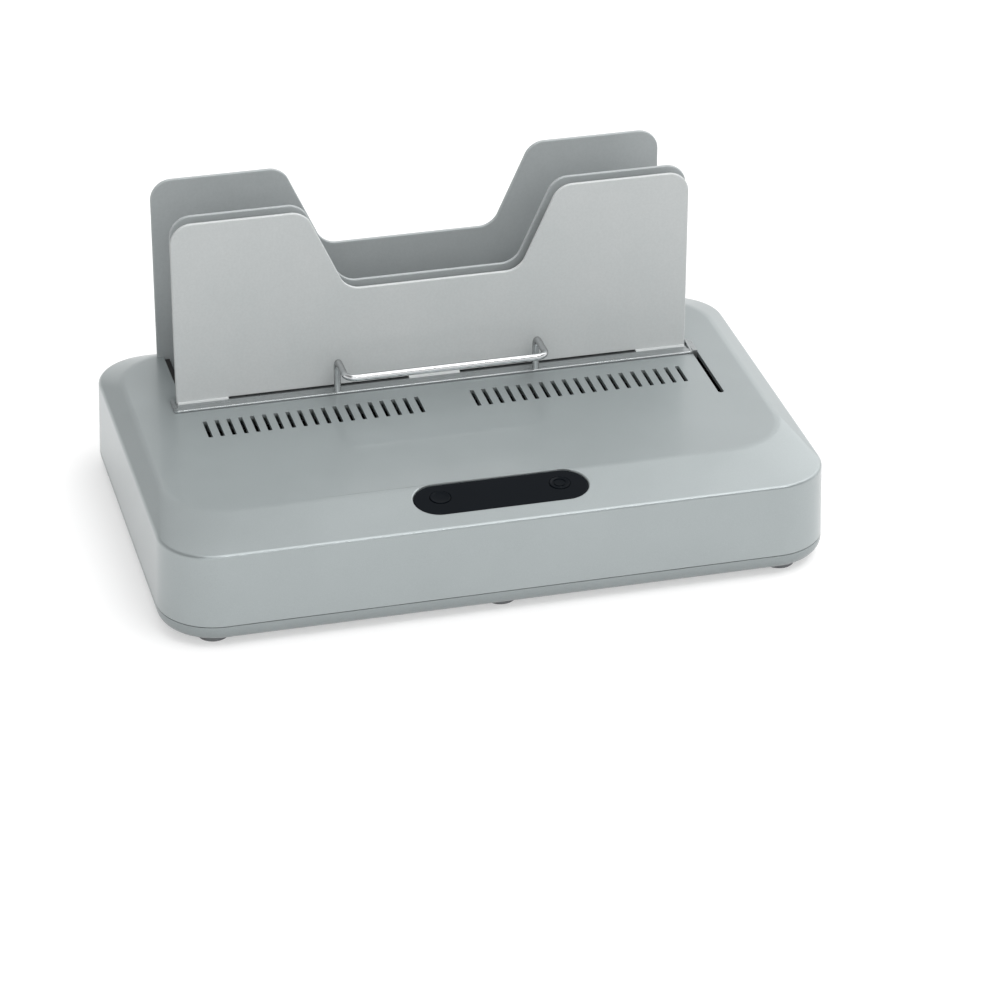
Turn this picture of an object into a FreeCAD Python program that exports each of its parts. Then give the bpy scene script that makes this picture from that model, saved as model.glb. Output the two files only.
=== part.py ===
import FreeCAD, Part
import math
import os

# A thermal binding machine: a low moulded body, a heated well between two fixed
# support plates, and a third plate on a rack that slides forward for cooling.
# X points right, Y to the rear and Z up. The origin is on the table, under the middle.

# Clearances, the one overrun of every cut, and the shortest edge worth drawing
fit_gap = 0.2
running_gap = 0.3
shaft_gap = 0.05
cut_overrun = 6.0
shortest_edge = 0.001

# Body shell: a drafted wall, a sharp crease, a sloped band and a flat deck
body_width = 385.0
body_depth = 252.0
deck_height = 62.5
crease_drop = 5.0
parting_height = 14.0
foot_height = 4.0
wall = 2.5
wall_draft = 1.2
corner_radius = 32.0
crease_round = 1.8
round_steps = 3
side_band = 11.5
front_band = 41.0
rear_band = 10.0
deck_corner_radius = 38.0

# Base tray
tray_edge_radius = 7.5
parting_groove = 0.4
lip_height = 3.0
lip_thickness = 1.4
tray_vent_count = 12
tray_vent_width = 3.0
tray_vent_length = 34.0
tray_vent_pitch = 9.0
tray_vent_setback = 10.0

# Rubber feet, three along the front and three along the rear
foot_radius = 8.2
foot_base_radius = 7.4
foot_base_bevel = 0.8
foot_inset_x = 28.5
foot_inset_y = 17.5
foot_recess = 1.0
foot_stem_radius = 2.5
foot_barb_radius = 3.2
foot_barb_height = 1.6

# Support plates with their wide scoops
plate_thickness = 2.2
plate_side_margin = 39.0
plate_rise = 114.0
plate_corner_radius = 12.5
scoop_depth = 51.3
scoop_top_width = 150.0
scoop_bottom_width = 103.0
scoop_radius = 12.0
shoulder_step = 4.3
rear_plate_setback = 14.0
well_gap = 50.0
cooling_gap = 8.9
flange_length = 9.0
plate_root_depth = 26.5
bend_radius = 2.0

# Cooling rack: foot flange of the front plate, carriage, tongue and wire handle
rack_travel = 48.0
rack_flange_depth = 13.0
rack_edge_radius = 1.6
tab_length = 30.5
carriage_thickness = 0.8
carriage_end_thickness = 1.8
carriage_end_rise = 4.0
carriage_end_gap = 1.1
carriage_rear_margin = 2.0
carriage_end_radius = 1.5
tongue_thickness = 2.2
tongue_length = 15.0
tongue_setback = 1.5
slot_side_gap = 0.5
slot_end_gap = 2.0
handle_wire = 4.0
handle_span = 119.4
handle_rise = 18.7
handle_reach = 25.0
handle_bend = 6.0
handle_leg_setback = 3.0

# Slide block, bushing, guide rod and brackets under the deck
rod_radius = 3.0
rod_depth_below_deck = 18.5
bushing_wall = 1.75
block_width = 14.0
block_length = 24.0
block_side = 6.5
block_above_rod = 10.0
block_edge_radius = 1.5
tongue_seat_depth = 4.4
bracket_thickness = 3.0
bracket_width = 10.0
bracket_stand_off = 1.8
bracket_foot_length = 14.0
bracket_block_drop = 6.0

# Deck vents, two rows of slits in front of the rack
vent_end_margin = 11.0
vent_width = 2.6
vent_length = 18.5
vent_pitch = 6.94
vent_inner_x = 16.7
vent_rear_distance = 11.2

# Heated well
heater_depth = 12.5
heater_thickness = 5.0
heater_groove_width = 34.0
element_thickness = 2.0
element_end_margin = 14.0
clamp_count = 3
clamp_end_margin = 45.9
clamp_width = 12.0
clamp_thickness = 1.5
clamp_screw_inset = 3.2
clamp_screw_length = 4.5
skirt_thickness = 2.0
skirt_depth = 15.0
frame_floor_height = 12.0
frame_wall = 3.0
frame_edge_radius = 2.0
end_block_length = 10.5
guard_thickness = 3.0
guard_drop = 1.5
heater_screw_length = 6.0
shield_thickness = 0.8
shield_rail_gap = 6.5
shield_margin = 20.0
strap_width = 9.0
strap_thickness = 0.8
thermostat_radius = 8.0
thermostat_height = 7.5
fuse_radius = 2.2
fuse_length = 13.0
plate_screw_count = 3
plate_screw_inset = 29.2
frame_screw_inset = 8.0
frame_screw_spacing = 30.0

# Control panel: lens, two round buttons, board and switches
panel_offset_x = 3.5
panel_setback = 28.1
panel_length = 100.0
panel_width = 28.4
panel_recess = 0.8
lens_thickness = 2.5
lens_chamfer = 0.7
lens_shelf = 3.0
pad_margin = 9.0
pad_thickness = 5.5
button_radius = 5.8
button_spacing = 68.8
button_offset_y = 2.5
button_proud = 0.2
button_flange = 1.1
button_flange_height = 1.0
button_stem_radius = 2.0
button_travel = 0.8
button_dish_radius = 18.0
button_dish_depth = 0.6
ring_inner_radius = 3.0
ring_width = 0.6
ring_depth = 0.5
board_depth = 14.0
board_thickness = 1.6
board_length = 117.0
board_width = 27.0
board_hole_inset = 3.5
board_boss_radius = 3.2
board_screw_length = 5.0
switch_cube = 6.0
switch_cube_height = 3.3
plunger_radius = 1.7
plunger_seat = 1.2
plunger_rise = 1.2
lamp_radius = 1.5
lamp_height = 5.0
lamp_spacing = 16.0
lamp_count = 3
buzzer_radius = 6.0
buzzer_height = 5.0
buzzer_hole_radius = 1.0
buzzer_offset_x = 20.0

# Power board beside the front wall
power_board_length = 80.0
power_board_width = 45.0
power_board_height = 16.0
power_board_right = 20.5
power_board_front = 41.0
standoff_radius = 3.5
standoff_inset = 4.0
transformer_length = 36.0
transformer_width = 30.0
transformer_height = 28.0
core_height = 16.0
core_overhang = 4.0
relay_length = 20.0
relay_width = 16.0
relay_height = 16.0
relay_edge_radius = 1.0
terminal_length = 22.0
terminal_width = 10.0
terminal_height = 12.0
terminal_ways = 3
terminal_hole_radius = 2.0
component_margin = 9.0
component_gap = 4.0

# Service recess in the right wall, with the mains inlet and the rocker switch
service_height_share = 0.46
service_recess = 3.0
service_pad = 4.0
service_margin = 2.0
inlet_setback = 50.0
inlet_flange_length = 30.0
inlet_flange_width = 23.0
service_flange_thickness = 1.5
service_flange_radius = 2.0
inlet_body_length = 26.6
inlet_body_width = 19.4
inlet_body_depth = 20.5
inlet_wall = 1.4
inlet_chamfer = 4.0
inlet_cavity_depth = 15.5
pin_width = 4.0
pin_thickness = 2.0
pin_length = 13.0
pin_tail = 6.0
pin_spacing = 14.0
pin_rise = 2.0
rocker_setback = 78.0
switch_flange_length = 21.0
switch_flange_width = 15.0
switch_body_length = 19.0
switch_body_width = 13.0
switch_body_depth = 22.0
rocker_radius = 8.0
rocker_width = 10.4
rocker_pivot_depth = 4.5
rocker_half_angle = 10.0
rocker_valley = 5.0
rocker_back = 2.5
trunnion_radius = 1.2
trunnion_length = 0.9

# Fasteners and the bosses that take them
screw_radius = 1.5
screw_head_radius = 2.8
screw_head_height = 2.0
screw_length = 7.0
cover_screw_length = 20.0
screw_seat = 4.0
boss_radius = 4.5
boss_wall = 2.0
boss_joint_height = 20.0
cover_screw_inset_x = 12.5
cover_screw_inset_y = 29.0
cover_screw_front_inset_x = 92.5
cover_screw_front_inset_y = 14.0

# Places of the body that follow from the sizes above
half_width = body_width / 2
half_depth = body_depth / 2
crease_height = deck_height - crease_drop
crease_front_y = -half_depth + wall_draft
deck_half_width = half_width - wall_draft - side_band
deck_front_y = crease_front_y + front_band
deck_rear_y = half_depth - wall_draft - rear_band
deck_underside = deck_height - wall
tray_floor = foot_height + wall
hole_radius = screw_radius + shaft_gap
screw_pocket_radius = screw_head_radius + fit_gap
cover_screw_seat = boss_joint_height - screw_seat
cover_screw_front_x = half_width - cover_screw_front_inset_x
foot_x = half_width - foot_inset_x
foot_y = half_depth - foot_inset_y

# Places of the plates and of the well
plate_width = body_width - 2 * plate_side_margin
rear_plate_y = half_depth - rear_plate_setback - plate_thickness
middle_plate_y = rear_plate_y - well_gap - plate_thickness
rack_plate_y = middle_plate_y - cooling_gap - plate_thickness
plate_top = deck_height + plate_rise
root_half_width = plate_width / 2 - shoulder_step
root_bottom = deck_height - plate_root_depth
flange_top = root_bottom + plate_thickness
well_front_y = middle_plate_y + plate_thickness
well_rear_y = rear_plate_y
well_centre_y = (well_front_y + well_rear_y) / 2
heater_top = deck_height - heater_depth
heater_bottom = heater_top - heater_thickness
heater_half_length = root_half_width - guard_thickness - running_gap
heater_front_y = well_front_y + running_gap
heater_rear_y = well_rear_y - running_gap
element_half_length = heater_half_length - element_end_margin
clamp_pitch = heater_half_length - clamp_end_margin
sensor_offset_x = clamp_pitch / 2
plate_screw_pitch = root_half_width - plate_screw_inset
frame_floor_top = frame_floor_height + wall
block_front_gap_y = well_front_y + flange_length + running_gap
block_rear_gap_y = well_rear_y - flange_length - running_gap
end_block_inner_x = root_half_width - guard_thickness - end_block_length
heater_screw_x = (end_block_inner_x + root_half_width) / 2
frame_screw_x = end_block_inner_x - frame_screw_inset
shield_half_length = end_block_inner_x - shield_margin
shield_top = root_bottom - frame_wall - shield_rail_gap

# Places of the rack and of what guides it
carriage_bottom = deck_height + running_gap
rack_flange_bottom = carriage_bottom + carriage_thickness
rack_flange_top = rack_flange_bottom + plate_thickness
rack_front_y = rack_plate_y - rack_flange_depth
rack_lip_back_y = rack_front_y + plate_thickness
carriage_inner_end = plate_width / 2 + carriage_end_gap
carriage_half_length = carriage_inner_end + carriage_end_thickness
carriage_rear_y = rack_plate_y + plate_thickness + carriage_rear_margin
carriage_end_top = carriage_bottom + carriage_end_rise
tongue_x = carriage_half_length + tongue_thickness / 2
tongue_front_y = rack_front_y + tongue_setback
tongue_rear_y = tongue_front_y + tongue_length
handle_leg_y = rack_front_y + handle_wire / 2 + handle_leg_setback
handle_bar_y = handle_leg_y - handle_reach
handle_z = rack_flange_top + handle_rise
rod_z = deck_height - rod_depth_below_deck
block_centre_y = (tongue_front_y + tongue_rear_y) / 2
block_front_y = block_centre_y - block_length / 2
block_rear_y = block_centre_y + block_length / 2
block_top = rod_z + block_above_rod
front_bracket_y = block_front_y - rack_travel - bracket_stand_off
rear_bracket_y = block_rear_y + bracket_stand_off
bracket_seat = deck_underside - bracket_block_drop
vent_count = 1 + int((plate_width / 2 - vent_end_margin - vent_inner_x) / vent_pitch)

# Places of the panel, the power board and the service recess
service_height = parting_height + (crease_height - parting_height) * service_height_share
band_angle = math.degrees(math.atan2(deck_height - crease_height, front_band))
panel_y = crease_front_y + panel_setback
panel_z = crease_height + panel_setback * math.tan(math.radians(band_angle))
lens_bottom = -panel_recess - lens_thickness
button_top = button_proud - panel_recess
button_flange_top = lens_bottom - running_gap
button_flange_bottom = button_flange_top - button_flange_height
switch_top = -board_depth + switch_cube_height
plunger_top = switch_top + plunger_rise
plunger_bottom = switch_top - plunger_seat
power_board_x = half_width - power_board_right - power_board_length
power_board_y = -half_depth + power_board_front
power_board_top = power_board_height + board_thickness
service_face_x = half_width - service_recess
service_flange_x = service_face_x + service_flange_thickness
inlet_y = half_depth - inlet_setback
rocker_y = half_depth - rocker_setback
rocker_pivot_x = service_face_x - rocker_pivot_depth

UP = FreeCAD.Vector(0, 0, 1)
DOWN = FreeCAD.Vector(0, 0, -1)
BACK = FreeCAD.Vector(0, 1, 0)
RIGHT = FreeCAD.Vector(1, 0, 0)
ORIGIN = FreeCAD.Vector(0, 0, 0)


def point(x, y, z):
    """A point of the part."""
    return FreeCAD.Vector(x, y, z)


def box(x0, x1, y0, y1, z0, z1):
    """A box between two corners."""
    return Part.makeBox(x1 - x0, y1 - y0, z1 - z0, point(x0, y0, z0))


def rod(radius, length, start, direction=UP):
    """A cylinder from a start point along a direction."""
    return Part.makeCylinder(radius, length, start, direction)


def joined(shapes):
    """One solid made of several that meet."""
    return shapes[0].fuse(shapes[1:]).removeSplitter()


def rounded(a, b, radius, before, after):
    """Start, middle and end of the arc that rounds one corner of an outline."""
    here = FreeCAD.Vector(a, b, 0)
    if radius == 0:
        return here, None, here
    to_before = (FreeCAD.Vector(before[0], before[1], 0) - here).normalize()
    to_after = (FreeCAD.Vector(after[0], after[1], 0) - here).normalize()
    half_turn = to_before.getAngle(to_after) / 2
    cut_back = radius / math.tan(half_turn)
    middle_way = (to_before + to_after).normalize()
    middle = here + middle_way * (radius / math.sin(half_turn) - radius)
    return here + to_before * cut_back, middle, here + to_after * cut_back


def outline(corners, plane):
    """A closed face from (a, b, radius) corners, rounded where the radius isn't zero."""
    count = len(corners)
    arcs = []
    for index, (a, b, radius) in enumerate(corners):
        arcs.append(rounded(a, b, radius, corners[index - 1], corners[(index + 1) % count]))
    edges = []
    for index, (start, middle, end) in enumerate(arcs):
        if middle is not None:
            edges.append(Part.Arc(plane(start), plane(middle), plane(end)).toShape())
        next_start = arcs[(index + 1) % count][0]
        if (next_start - end).Length > shortest_edge:
            edges.append(Part.LineSegment(plane(end), plane(next_start)).toShape())
    return Part.Face(Part.Wire(edges))


def front_view(y):
    """Turns (a, b) into a point of the X-Z plane at y."""
    return lambda v: point(v.x, y, v.y)


def side_view(x):
    """Turns (a, b) into a point of the Y-Z plane at x."""
    return lambda v: point(x, v.x, v.y)


def plan_view(z):
    """Turns (a, b) into a point of the X-Y plane at z."""
    return lambda v: point(v.x, v.y, z)


def turned(profile, centre):
    """A solid turned about an upright axis from a list of (radius, z)."""
    corners = [point(radius, 0, z) for radius, z in profile]
    face = Part.Face(Part.makePolygon(corners + corners[:1]))
    solid = face.revolve(ORIGIN, UP, 360)
    solid.translate(centre)
    return solid


def spread(count, pitch):
    """Places of a row that is centred on zero."""
    return [(index - (count - 1) / 2) * pitch for index in range(count)]


def rounded_box(half_x, half_y, radius, z0, z1):
    """An upright block with rounded corners, centred on the axis."""
    corners = [(half_x, -half_y), (half_x, half_y), (-half_x, half_y), (-half_x, -half_y)]
    face = outline([(a, b, radius) for a, b in corners], plan_view(z0))
    return face.extrude(point(0, 0, z1 - z0))


def on_panel(shape):
    """Moves a shape from the panel's own frame onto the sloped front band."""
    placed = shape.copy()
    placed.rotate(ORIGIN, RIGHT, band_angle)
    placed.translate(point(panel_offset_x, panel_y, panel_z))
    return placed


def plan_wire(half_x, front_y, rear_y, radius, z):
    """Outline of a rounded rectangle at height z, always started at the same corner."""
    corners = [(half_x, front_y), (half_x, rear_y), (-half_x, rear_y), (-half_x, front_y)]
    return outline([(a, b, radius) for a, b in corners], plan_view(z)).OuterWire


def body_wire(inset, z):
    """The body's outline at its widest, drawn in by an inset."""
    radius = corner_radius + wall_draft - inset
    return plan_wire(half_width - inset, -half_depth + inset, half_depth - inset, radius, z)


def body_prism(inset, z0, z1):
    """An upright block with the body's outline."""
    return Part.Face(body_wire(inset, z0)).extrude(point(0, 0, z1 - z0))


def screw(x, y, z, length, direction=UP):
    """A pan-head screw with its head's crown at z and its shank along the direction."""
    start = point(x, y, z)
    head = rod(screw_head_radius, screw_head_height, start, direction)
    shank = rod(screw_radius, screw_head_height + length, start, direction)
    return joined([head, shank])


def cover_screw_places():
    """Centres of the screws that hold the cover to the tray."""
    corner_x = half_width - cover_screw_inset_x
    corner_y = half_depth - cover_screw_inset_y
    places = [(x, y) for x in (-corner_x, corner_x) for y in (-corner_y, corner_y)]
    front_y = -half_depth + cover_screw_front_inset_y
    return places + [(-cover_screw_front_x, front_y), (cover_screw_front_x, front_y)]


def bracket_foot_span(front):
    """Front and rear y of a rod bracket's foot."""
    if front:
        return front_bracket_y - bracket_foot_length, front_bracket_y
    return rear_bracket_y, rear_bracket_y + bracket_foot_length


def bracket_screw_y(front):
    """Where a bracket's screw stands, beyond its upright leg."""
    low, high = bracket_foot_span(front)
    shift = -bracket_thickness / 2 if front else bracket_thickness / 2
    return (low + high) / 2 + shift


def board_hole_places():
    """Corner holes of the panel board, in the panel's frame."""
    x = board_length / 2 - board_hole_inset
    y = board_width / 2 - board_hole_inset
    return [(a, b) for a in (-x, x) for b in (-y, y)]


def power_board_hole_places():
    """Corner holes of the power board."""
    x0 = power_board_x + standoff_inset
    x1 = power_board_x + power_board_length - standoff_inset
    y0 = power_board_y + standoff_inset
    y1 = power_board_y + power_board_width - standoff_inset
    return [(x, y) for x in (x0, x1) for y in (y0, y1)]


def frame_screw_places():
    """Centres of the screws that hold the heater frame to the tray."""
    low = well_centre_y - frame_screw_spacing / 2
    high = well_centre_y + frame_screw_spacing / 2
    return [(x, y) for x in (-frame_screw_x, frame_screw_x) for y in (low, high)]


def plate_screw_places():
    """Centres of the screws that hold the flanges of the two fixed plates."""
    reach = (flange_length + bend_radius) / 2
    front = well_front_y + reach
    rear = well_rear_y - reach
    return [(x, y) for x in spread(plate_screw_count, plate_screw_pitch) for y in (front, rear)]


def button_places():
    """Centres of the two round buttons, in the panel's frame."""
    return {"start": -button_spacing / 2, "ready": button_spacing / 2}


def cover_form(inset, drop):
    """The cover's outer form, or its hollow when drawn in and lowered by the wall."""
    sections = [body_wire(inset, parting_height - drop)]
    for step in range(round_steps + 1):
        angle = math.radians(90 * step / round_steps)
        draw_in = wall_draft + inset + crease_round * (1 - math.cos(angle))
        rise = crease_round * (1 - math.sin(angle))
        sections.append(body_wire(draw_in, crease_height - drop - rise))
    top_z = deck_height - drop
    sections.append(plan_wire(deck_half_width, deck_front_y, deck_rear_y, deck_corner_radius, top_z))
    return Part.makeLoft(sections, True, True)


def well_skirt():
    """The rim that hangs from the deck round the well opening."""
    reach = fit_gap + skirt_thickness
    half_x = root_half_width + reach
    front_y = middle_plate_y - reach
    rear_y = rear_plate_y + plate_thickness + reach
    return box(-half_x, half_x, front_y, rear_y, deck_height - skirt_depth, deck_height)


def well_opening():
    """The cut through deck and skirt that the plates' roots pass."""
    half_x = root_half_width + fit_gap
    front_y = middle_plate_y - fit_gap
    rear_y = rear_plate_y + plate_thickness + fit_gap
    return box(-half_x, half_x, front_y, rear_y, root_bottom, deck_height + cut_overrun)


def vent_cuts():
    """The slits of both vent rows, as a list of cutters."""
    rear_y = rack_front_y - vent_rear_distance
    low = deck_underside - cut_overrun
    high = deck_height + cut_overrun
    half = vent_width / 2
    cutters = []
    for side in (-1, 1):
        for index in range(vent_count):
            x = side * (vent_inner_x + index * vent_pitch)
            cutters.append(box(x - half, x + half, rear_y - vent_length, rear_y, low, high))
    return cutters


def rack_slot():
    """The slot in the deck that the tongue slides along."""
    half = tongue_thickness / 2 + slot_side_gap
    front_y = tongue_front_y - rack_travel - slot_end_gap
    rear_y = tongue_rear_y + slot_end_gap
    slot = box(tongue_x - half, tongue_x + half, front_y + half, rear_y - half, deck_underside, deck_height)
    low = point(tongue_x, front_y + half, deck_underside)
    high = point(tongue_x, rear_y - half, deck_underside)
    return joined([slot, rod(half, wall, low), rod(half, wall, high)])


def panel_pad():
    """The thick seat under the lens, with its four bosses for the board."""
    half_x = panel_length / 2 + pad_margin
    half_y = panel_width / 2 + pad_margin
    pad = rounded_box(half_x, half_y, half_y, -pad_thickness, 0)
    bosses = []
    for x, y in board_hole_places():
        bosses.append(rod(board_boss_radius, board_depth, point(x, y, -board_depth)))
    return on_panel(joined([pad] + bosses))


def panel_cuts():
    """Recess for the lens, window behind it and pilot holes for the board screws."""
    half_x = panel_length / 2 + fit_gap
    half_y = panel_width / 2 + fit_gap
    recess = rounded_box(half_x, half_y, half_y, lens_bottom, cut_overrun)
    window_x = half_x - lens_shelf
    window_y = half_y - lens_shelf
    window = rounded_box(window_x, window_y, window_y, -pad_thickness - cut_overrun, lens_bottom)
    cutters = [recess, window]
    for x, y in board_hole_places():
        cutters.append(rod(hole_radius, board_screw_length, point(x, y, -board_depth)))
    return [on_panel(cutter) for cutter in cutters]


def service_span():
    """Lowest and highest y and z of the service recess."""
    low_y = rocker_y - switch_flange_length / 2 - service_margin
    high_y = inlet_y + inlet_flange_length / 2 + service_margin
    reach = inlet_flange_width / 2 + service_margin
    return low_y, high_y, service_height - reach, service_height + reach


def service_block():
    """The thick wall behind the service recess."""
    low_y, high_y, low_z, high_z = service_span()
    inner_x = service_face_x - service_pad
    return box(inner_x, half_width, low_y - wall, high_y + wall, low_z - wall, high_z + wall)


def service_cuts():
    """The recess itself, and the cut-outs for inlet and switch."""
    low_y, high_y, low_z, high_z = service_span()
    recess = box(service_face_x, half_width + cut_overrun, low_y, high_y, low_z, high_z)
    inner_x = service_face_x - service_pad - cut_overrun
    cutters = [recess]
    inlet = (inlet_y, inlet_body_length, inlet_body_width)
    switch = (rocker_y, switch_body_length, switch_body_width)
    for y, length, width in (inlet, switch):
        half_y = length / 2 + fit_gap
        half_z = width / 2 + fit_gap
        low_z = service_height - half_z
        high_z = service_height + half_z
        cutters.append(box(inner_x, service_face_x, y - half_y, y + half_y, low_z, high_z))
    return cutters


def bracket_blocks():
    """Two blocks under the deck that take the rod brackets."""
    half = bracket_width / 2
    blocks = []
    for front in (True, False):
        low, high = bracket_foot_span(front)
        blocks.append(box(tongue_x - half, tongue_x + half, low, high, bracket_seat, deck_height))
    return blocks


def cover_bosses():
    """Screw bosses that hang from the cover's top."""
    height = deck_height - boss_joint_height
    return [rod(boss_radius, height, point(x, y, boss_joint_height)) for x, y in cover_screw_places()]


def cover_pilots():
    """Pilot holes for the cover screws and the bracket screws."""
    cutters = []
    for x, y in cover_screw_places():
        depth = cover_screw_length + fit_gap - screw_seat
        cutters.append(rod(hole_radius, depth, point(x, y, boss_joint_height)))
    for front in (True, False):
        start = point(tongue_x, bracket_screw_y(front), bracket_seat)
        depth = screw_length + fit_gap - bracket_thickness
        cutters.append(rod(hole_radius, depth, start))
    return cutters


def top_cover():
    """The moulded cover: shell, inner features, then every opening."""
    outer = cover_form(0, 0)
    shell = outer.cut(cover_form(wall, wall))
    inner = [well_skirt(), panel_pad(), service_block()] + bracket_blocks() + cover_bosses()
    trimmed = [feature.common(outer) for feature in inner]
    cover = joined([shell] + trimmed)
    cutters = [well_opening(), rack_slot()] + vent_cuts() + panel_cuts() + service_cuts() + cover_pilots()
    return cover.cut(cutters)


def bottom_edges(shape, z):
    """The edges of a shape that lie wholly at one height."""
    edges = []
    for edge in shape.Edges:
        if abs(edge.BoundBox.ZMin - z) < shortest_edge and abs(edge.BoundBox.ZMax - z) < shortest_edge:
            edges.append(edge)
    return edges


def tray_posts():
    """Bosses and posts that rise from the tray's floor."""
    posts = []
    tray_boss_radius = screw_pocket_radius + boss_wall
    for x, y in cover_screw_places():
        posts.append(rod(tray_boss_radius, boss_joint_height - foot_height, point(x, y, foot_height)))
    for x, y in frame_screw_places():
        posts.append(rod(boss_radius, frame_floor_height - foot_height, point(x, y, foot_height)))
    for x, y in power_board_hole_places():
        posts.append(rod(standoff_radius, power_board_height - foot_height, point(x, y, foot_height)))
    return posts


def tray_screw_cuts():
    """Pockets for the cover screws from below, and pilot holes from above."""
    cutters = []
    for x, y in cover_screw_places():
        low = foot_height - cut_overrun
        cutters.append(rod(screw_pocket_radius, cover_screw_seat - low, point(x, y, low)))
        cutters.append(rod(hole_radius, screw_seat, point(x, y, cover_screw_seat)))
    for x, y in frame_screw_places():
        bottom = frame_floor_top - screw_length - fit_gap
        cutters.append(rod(hole_radius, frame_floor_height - bottom, point(x, y, bottom)))
    for x, y in power_board_hole_places():
        bottom = power_board_top - screw_length - fit_gap
        cutters.append(rod(hole_radius, power_board_height - bottom, point(x, y, bottom)))
    return cutters


def tray_floor_cuts():
    """Vents under the well, and the seats and stem holes of the feet."""
    cutters = []
    centre_y = well_centre_y - tray_vent_setback
    low_y = centre_y - tray_vent_length / 2
    high_y = centre_y + tray_vent_length / 2
    half = tray_vent_width / 2
    for x in spread(tray_vent_count, tray_vent_pitch):
        cutters.append(box(x - half, x + half, low_y, high_y, 0, tray_floor))
    for x, y in foot_places().values():
        cutters.append(rod(foot_radius + fit_gap, foot_height + foot_recess, point(x, y, 0)))
        cutters.append(rod(foot_stem_radius + fit_gap, tray_floor, point(x, y, 0)))
    return cutters


def base_tray():
    """The moulded tray: rounded lower edge, locating lip, posts, vents and foot seats."""
    outer = body_prism(0, foot_height, parting_height - parting_groove)
    outer = outer.makeFillet(tray_edge_radius, bottom_edges(outer, foot_height))
    lip_inset = wall + fit_gap
    lip = body_prism(lip_inset, tray_floor, parting_height + lip_height)
    hollow_inset = lip_inset + lip_thickness
    hollow = body_prism(hollow_inset, tray_floor, parting_height + cut_overrun)
    hollow = hollow.makeFillet(tray_edge_radius - wall, bottom_edges(hollow, tray_floor))
    lip_start = body_prism(0, tray_floor, parting_height - parting_groove - lip_thickness)
    tray = joined([outer, lip.cut(lip_start)]).cut(hollow)
    tray = joined([tray] + tray_posts())
    return tray.cut(tray_screw_cuts() + tray_floor_cuts())


def foot_places():
    """Names and centres of the feet."""
    places = {}
    for row, y in (("front", -foot_y), ("rear", foot_y)):
        for side, x in (("left", -foot_x), ("centre", 0), ("right", foot_x)):
            places["foot_%s_%s" % (row, side)] = (x, y)
    return places


def rubber_foot(x, y):
    """A turned foot whose barbed stem is pulled through the tray's floor."""
    seat = foot_height + foot_recess
    barb = tray_floor + shaft_gap
    profile = [
        (0, 0),
        (foot_base_radius, 0),
        (foot_radius, foot_base_bevel),
        (foot_radius, seat),
        (foot_stem_radius, seat),
        (foot_stem_radius, barb),
        (foot_barb_radius, barb),
        (foot_barb_radius / 2, barb + foot_barb_height),
        (0, barb + foot_barb_height),
    ]
    return turned(profile, point(x, y, 0))


def plate_sheet(front_y, low):
    """A support plate's sheet above a level, with rounded corners and a scoop."""
    half = plate_width / 2
    scoop_low = plate_top - scoop_depth
    right = [
        (scoop_bottom_width / 2, scoop_low, scoop_radius),
        (scoop_top_width / 2, plate_top, scoop_radius),
        (half, plate_top, plate_corner_radius),
        (half, low, 0),
    ]
    left = [(-x, z, radius) for x, z, radius in reversed(right)]
    return outline(left + right, front_view(front_y)).extrude(BACK * plate_thickness)


def fixed_plate(front_y, inward):
    """A plate of the well: shoulders on the deck, root through it, flange at the bottom."""
    inner = front_y + plate_thickness if inward > 0 else front_y
    outer = inner - inward * plate_thickness
    flange_end = inner + inward * flange_length
    corners = [
        (outer, deck_height, 0),
        (outer, root_bottom, bend_radius + plate_thickness),
        (flange_end, root_bottom, 0),
        (flange_end, flange_top, 0),
        (inner, flange_top, bend_radius),
        (inner, deck_height, 0),
    ]
    root = outline(corners, side_view(-root_half_width)).extrude(RIGHT * (2 * root_half_width))
    holes = []
    for x, y in plate_screw_places():
        if abs(y - inner) < flange_length:
            holes.append(rod(hole_radius, plate_thickness, point(x, y, root_bottom)))
    return joined([plate_sheet(front_y, deck_height), root]).cut(holes)


def tab_notches():
    """Slots along the bend that leave three tabs between plate and flange."""
    end_tab = plate_width / 2 - tab_length
    back = rack_plate_y + plate_thickness + cut_overrun
    front = rack_plate_y - bend_radius
    high = rack_flange_top + bend_radius
    right = box(tab_length / 2, end_tab, front, back, rack_flange_top, high)
    left = box(-end_tab, -tab_length / 2, front, back, rack_flange_top, high)
    return [right, left]


def front_support_plate():
    """The sliding plate, bent forward into a foot flange with a rounded lip."""
    bend_top = rack_flange_top + bend_radius
    back = rack_plate_y + plate_thickness
    corners = [
        (back, bend_top, 0),
        (back, rack_flange_bottom, bend_radius + plate_thickness),
        (rack_lip_back_y, rack_flange_bottom, 0),
        (rack_lip_back_y, carriage_bottom, 0),
        (rack_front_y, carriage_bottom, 0),
        (rack_front_y, rack_flange_top, rack_edge_radius),
        (rack_plate_y, rack_flange_top, bend_radius),
        (rack_plate_y, bend_top, 0),
    ]
    flange = outline(corners, side_view(-plate_width / 2)).extrude(RIGHT * plate_width)
    cutters = tab_notches()
    for x in (-handle_span / 2, handle_span / 2):
        start = point(x, handle_leg_y, rack_flange_bottom)
        cutters.append(rod(handle_wire / 2 + shaft_gap, plate_thickness, start))
    return joined([plate_sheet(rack_plate_y, bend_top), flange]).cut(cutters)


def carriage_end(x):
    """An upturned end of the carriage, from its lower x."""
    corners = [
        (rack_lip_back_y, carriage_bottom, 0),
        (carriage_rear_y, carriage_bottom, 0),
        (carriage_rear_y, carriage_end_top, carriage_end_radius),
        (rack_lip_back_y, carriage_end_top, carriage_end_radius),
    ]
    return outline(corners, side_view(x)).extrude(RIGHT * carriage_end_thickness)


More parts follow.
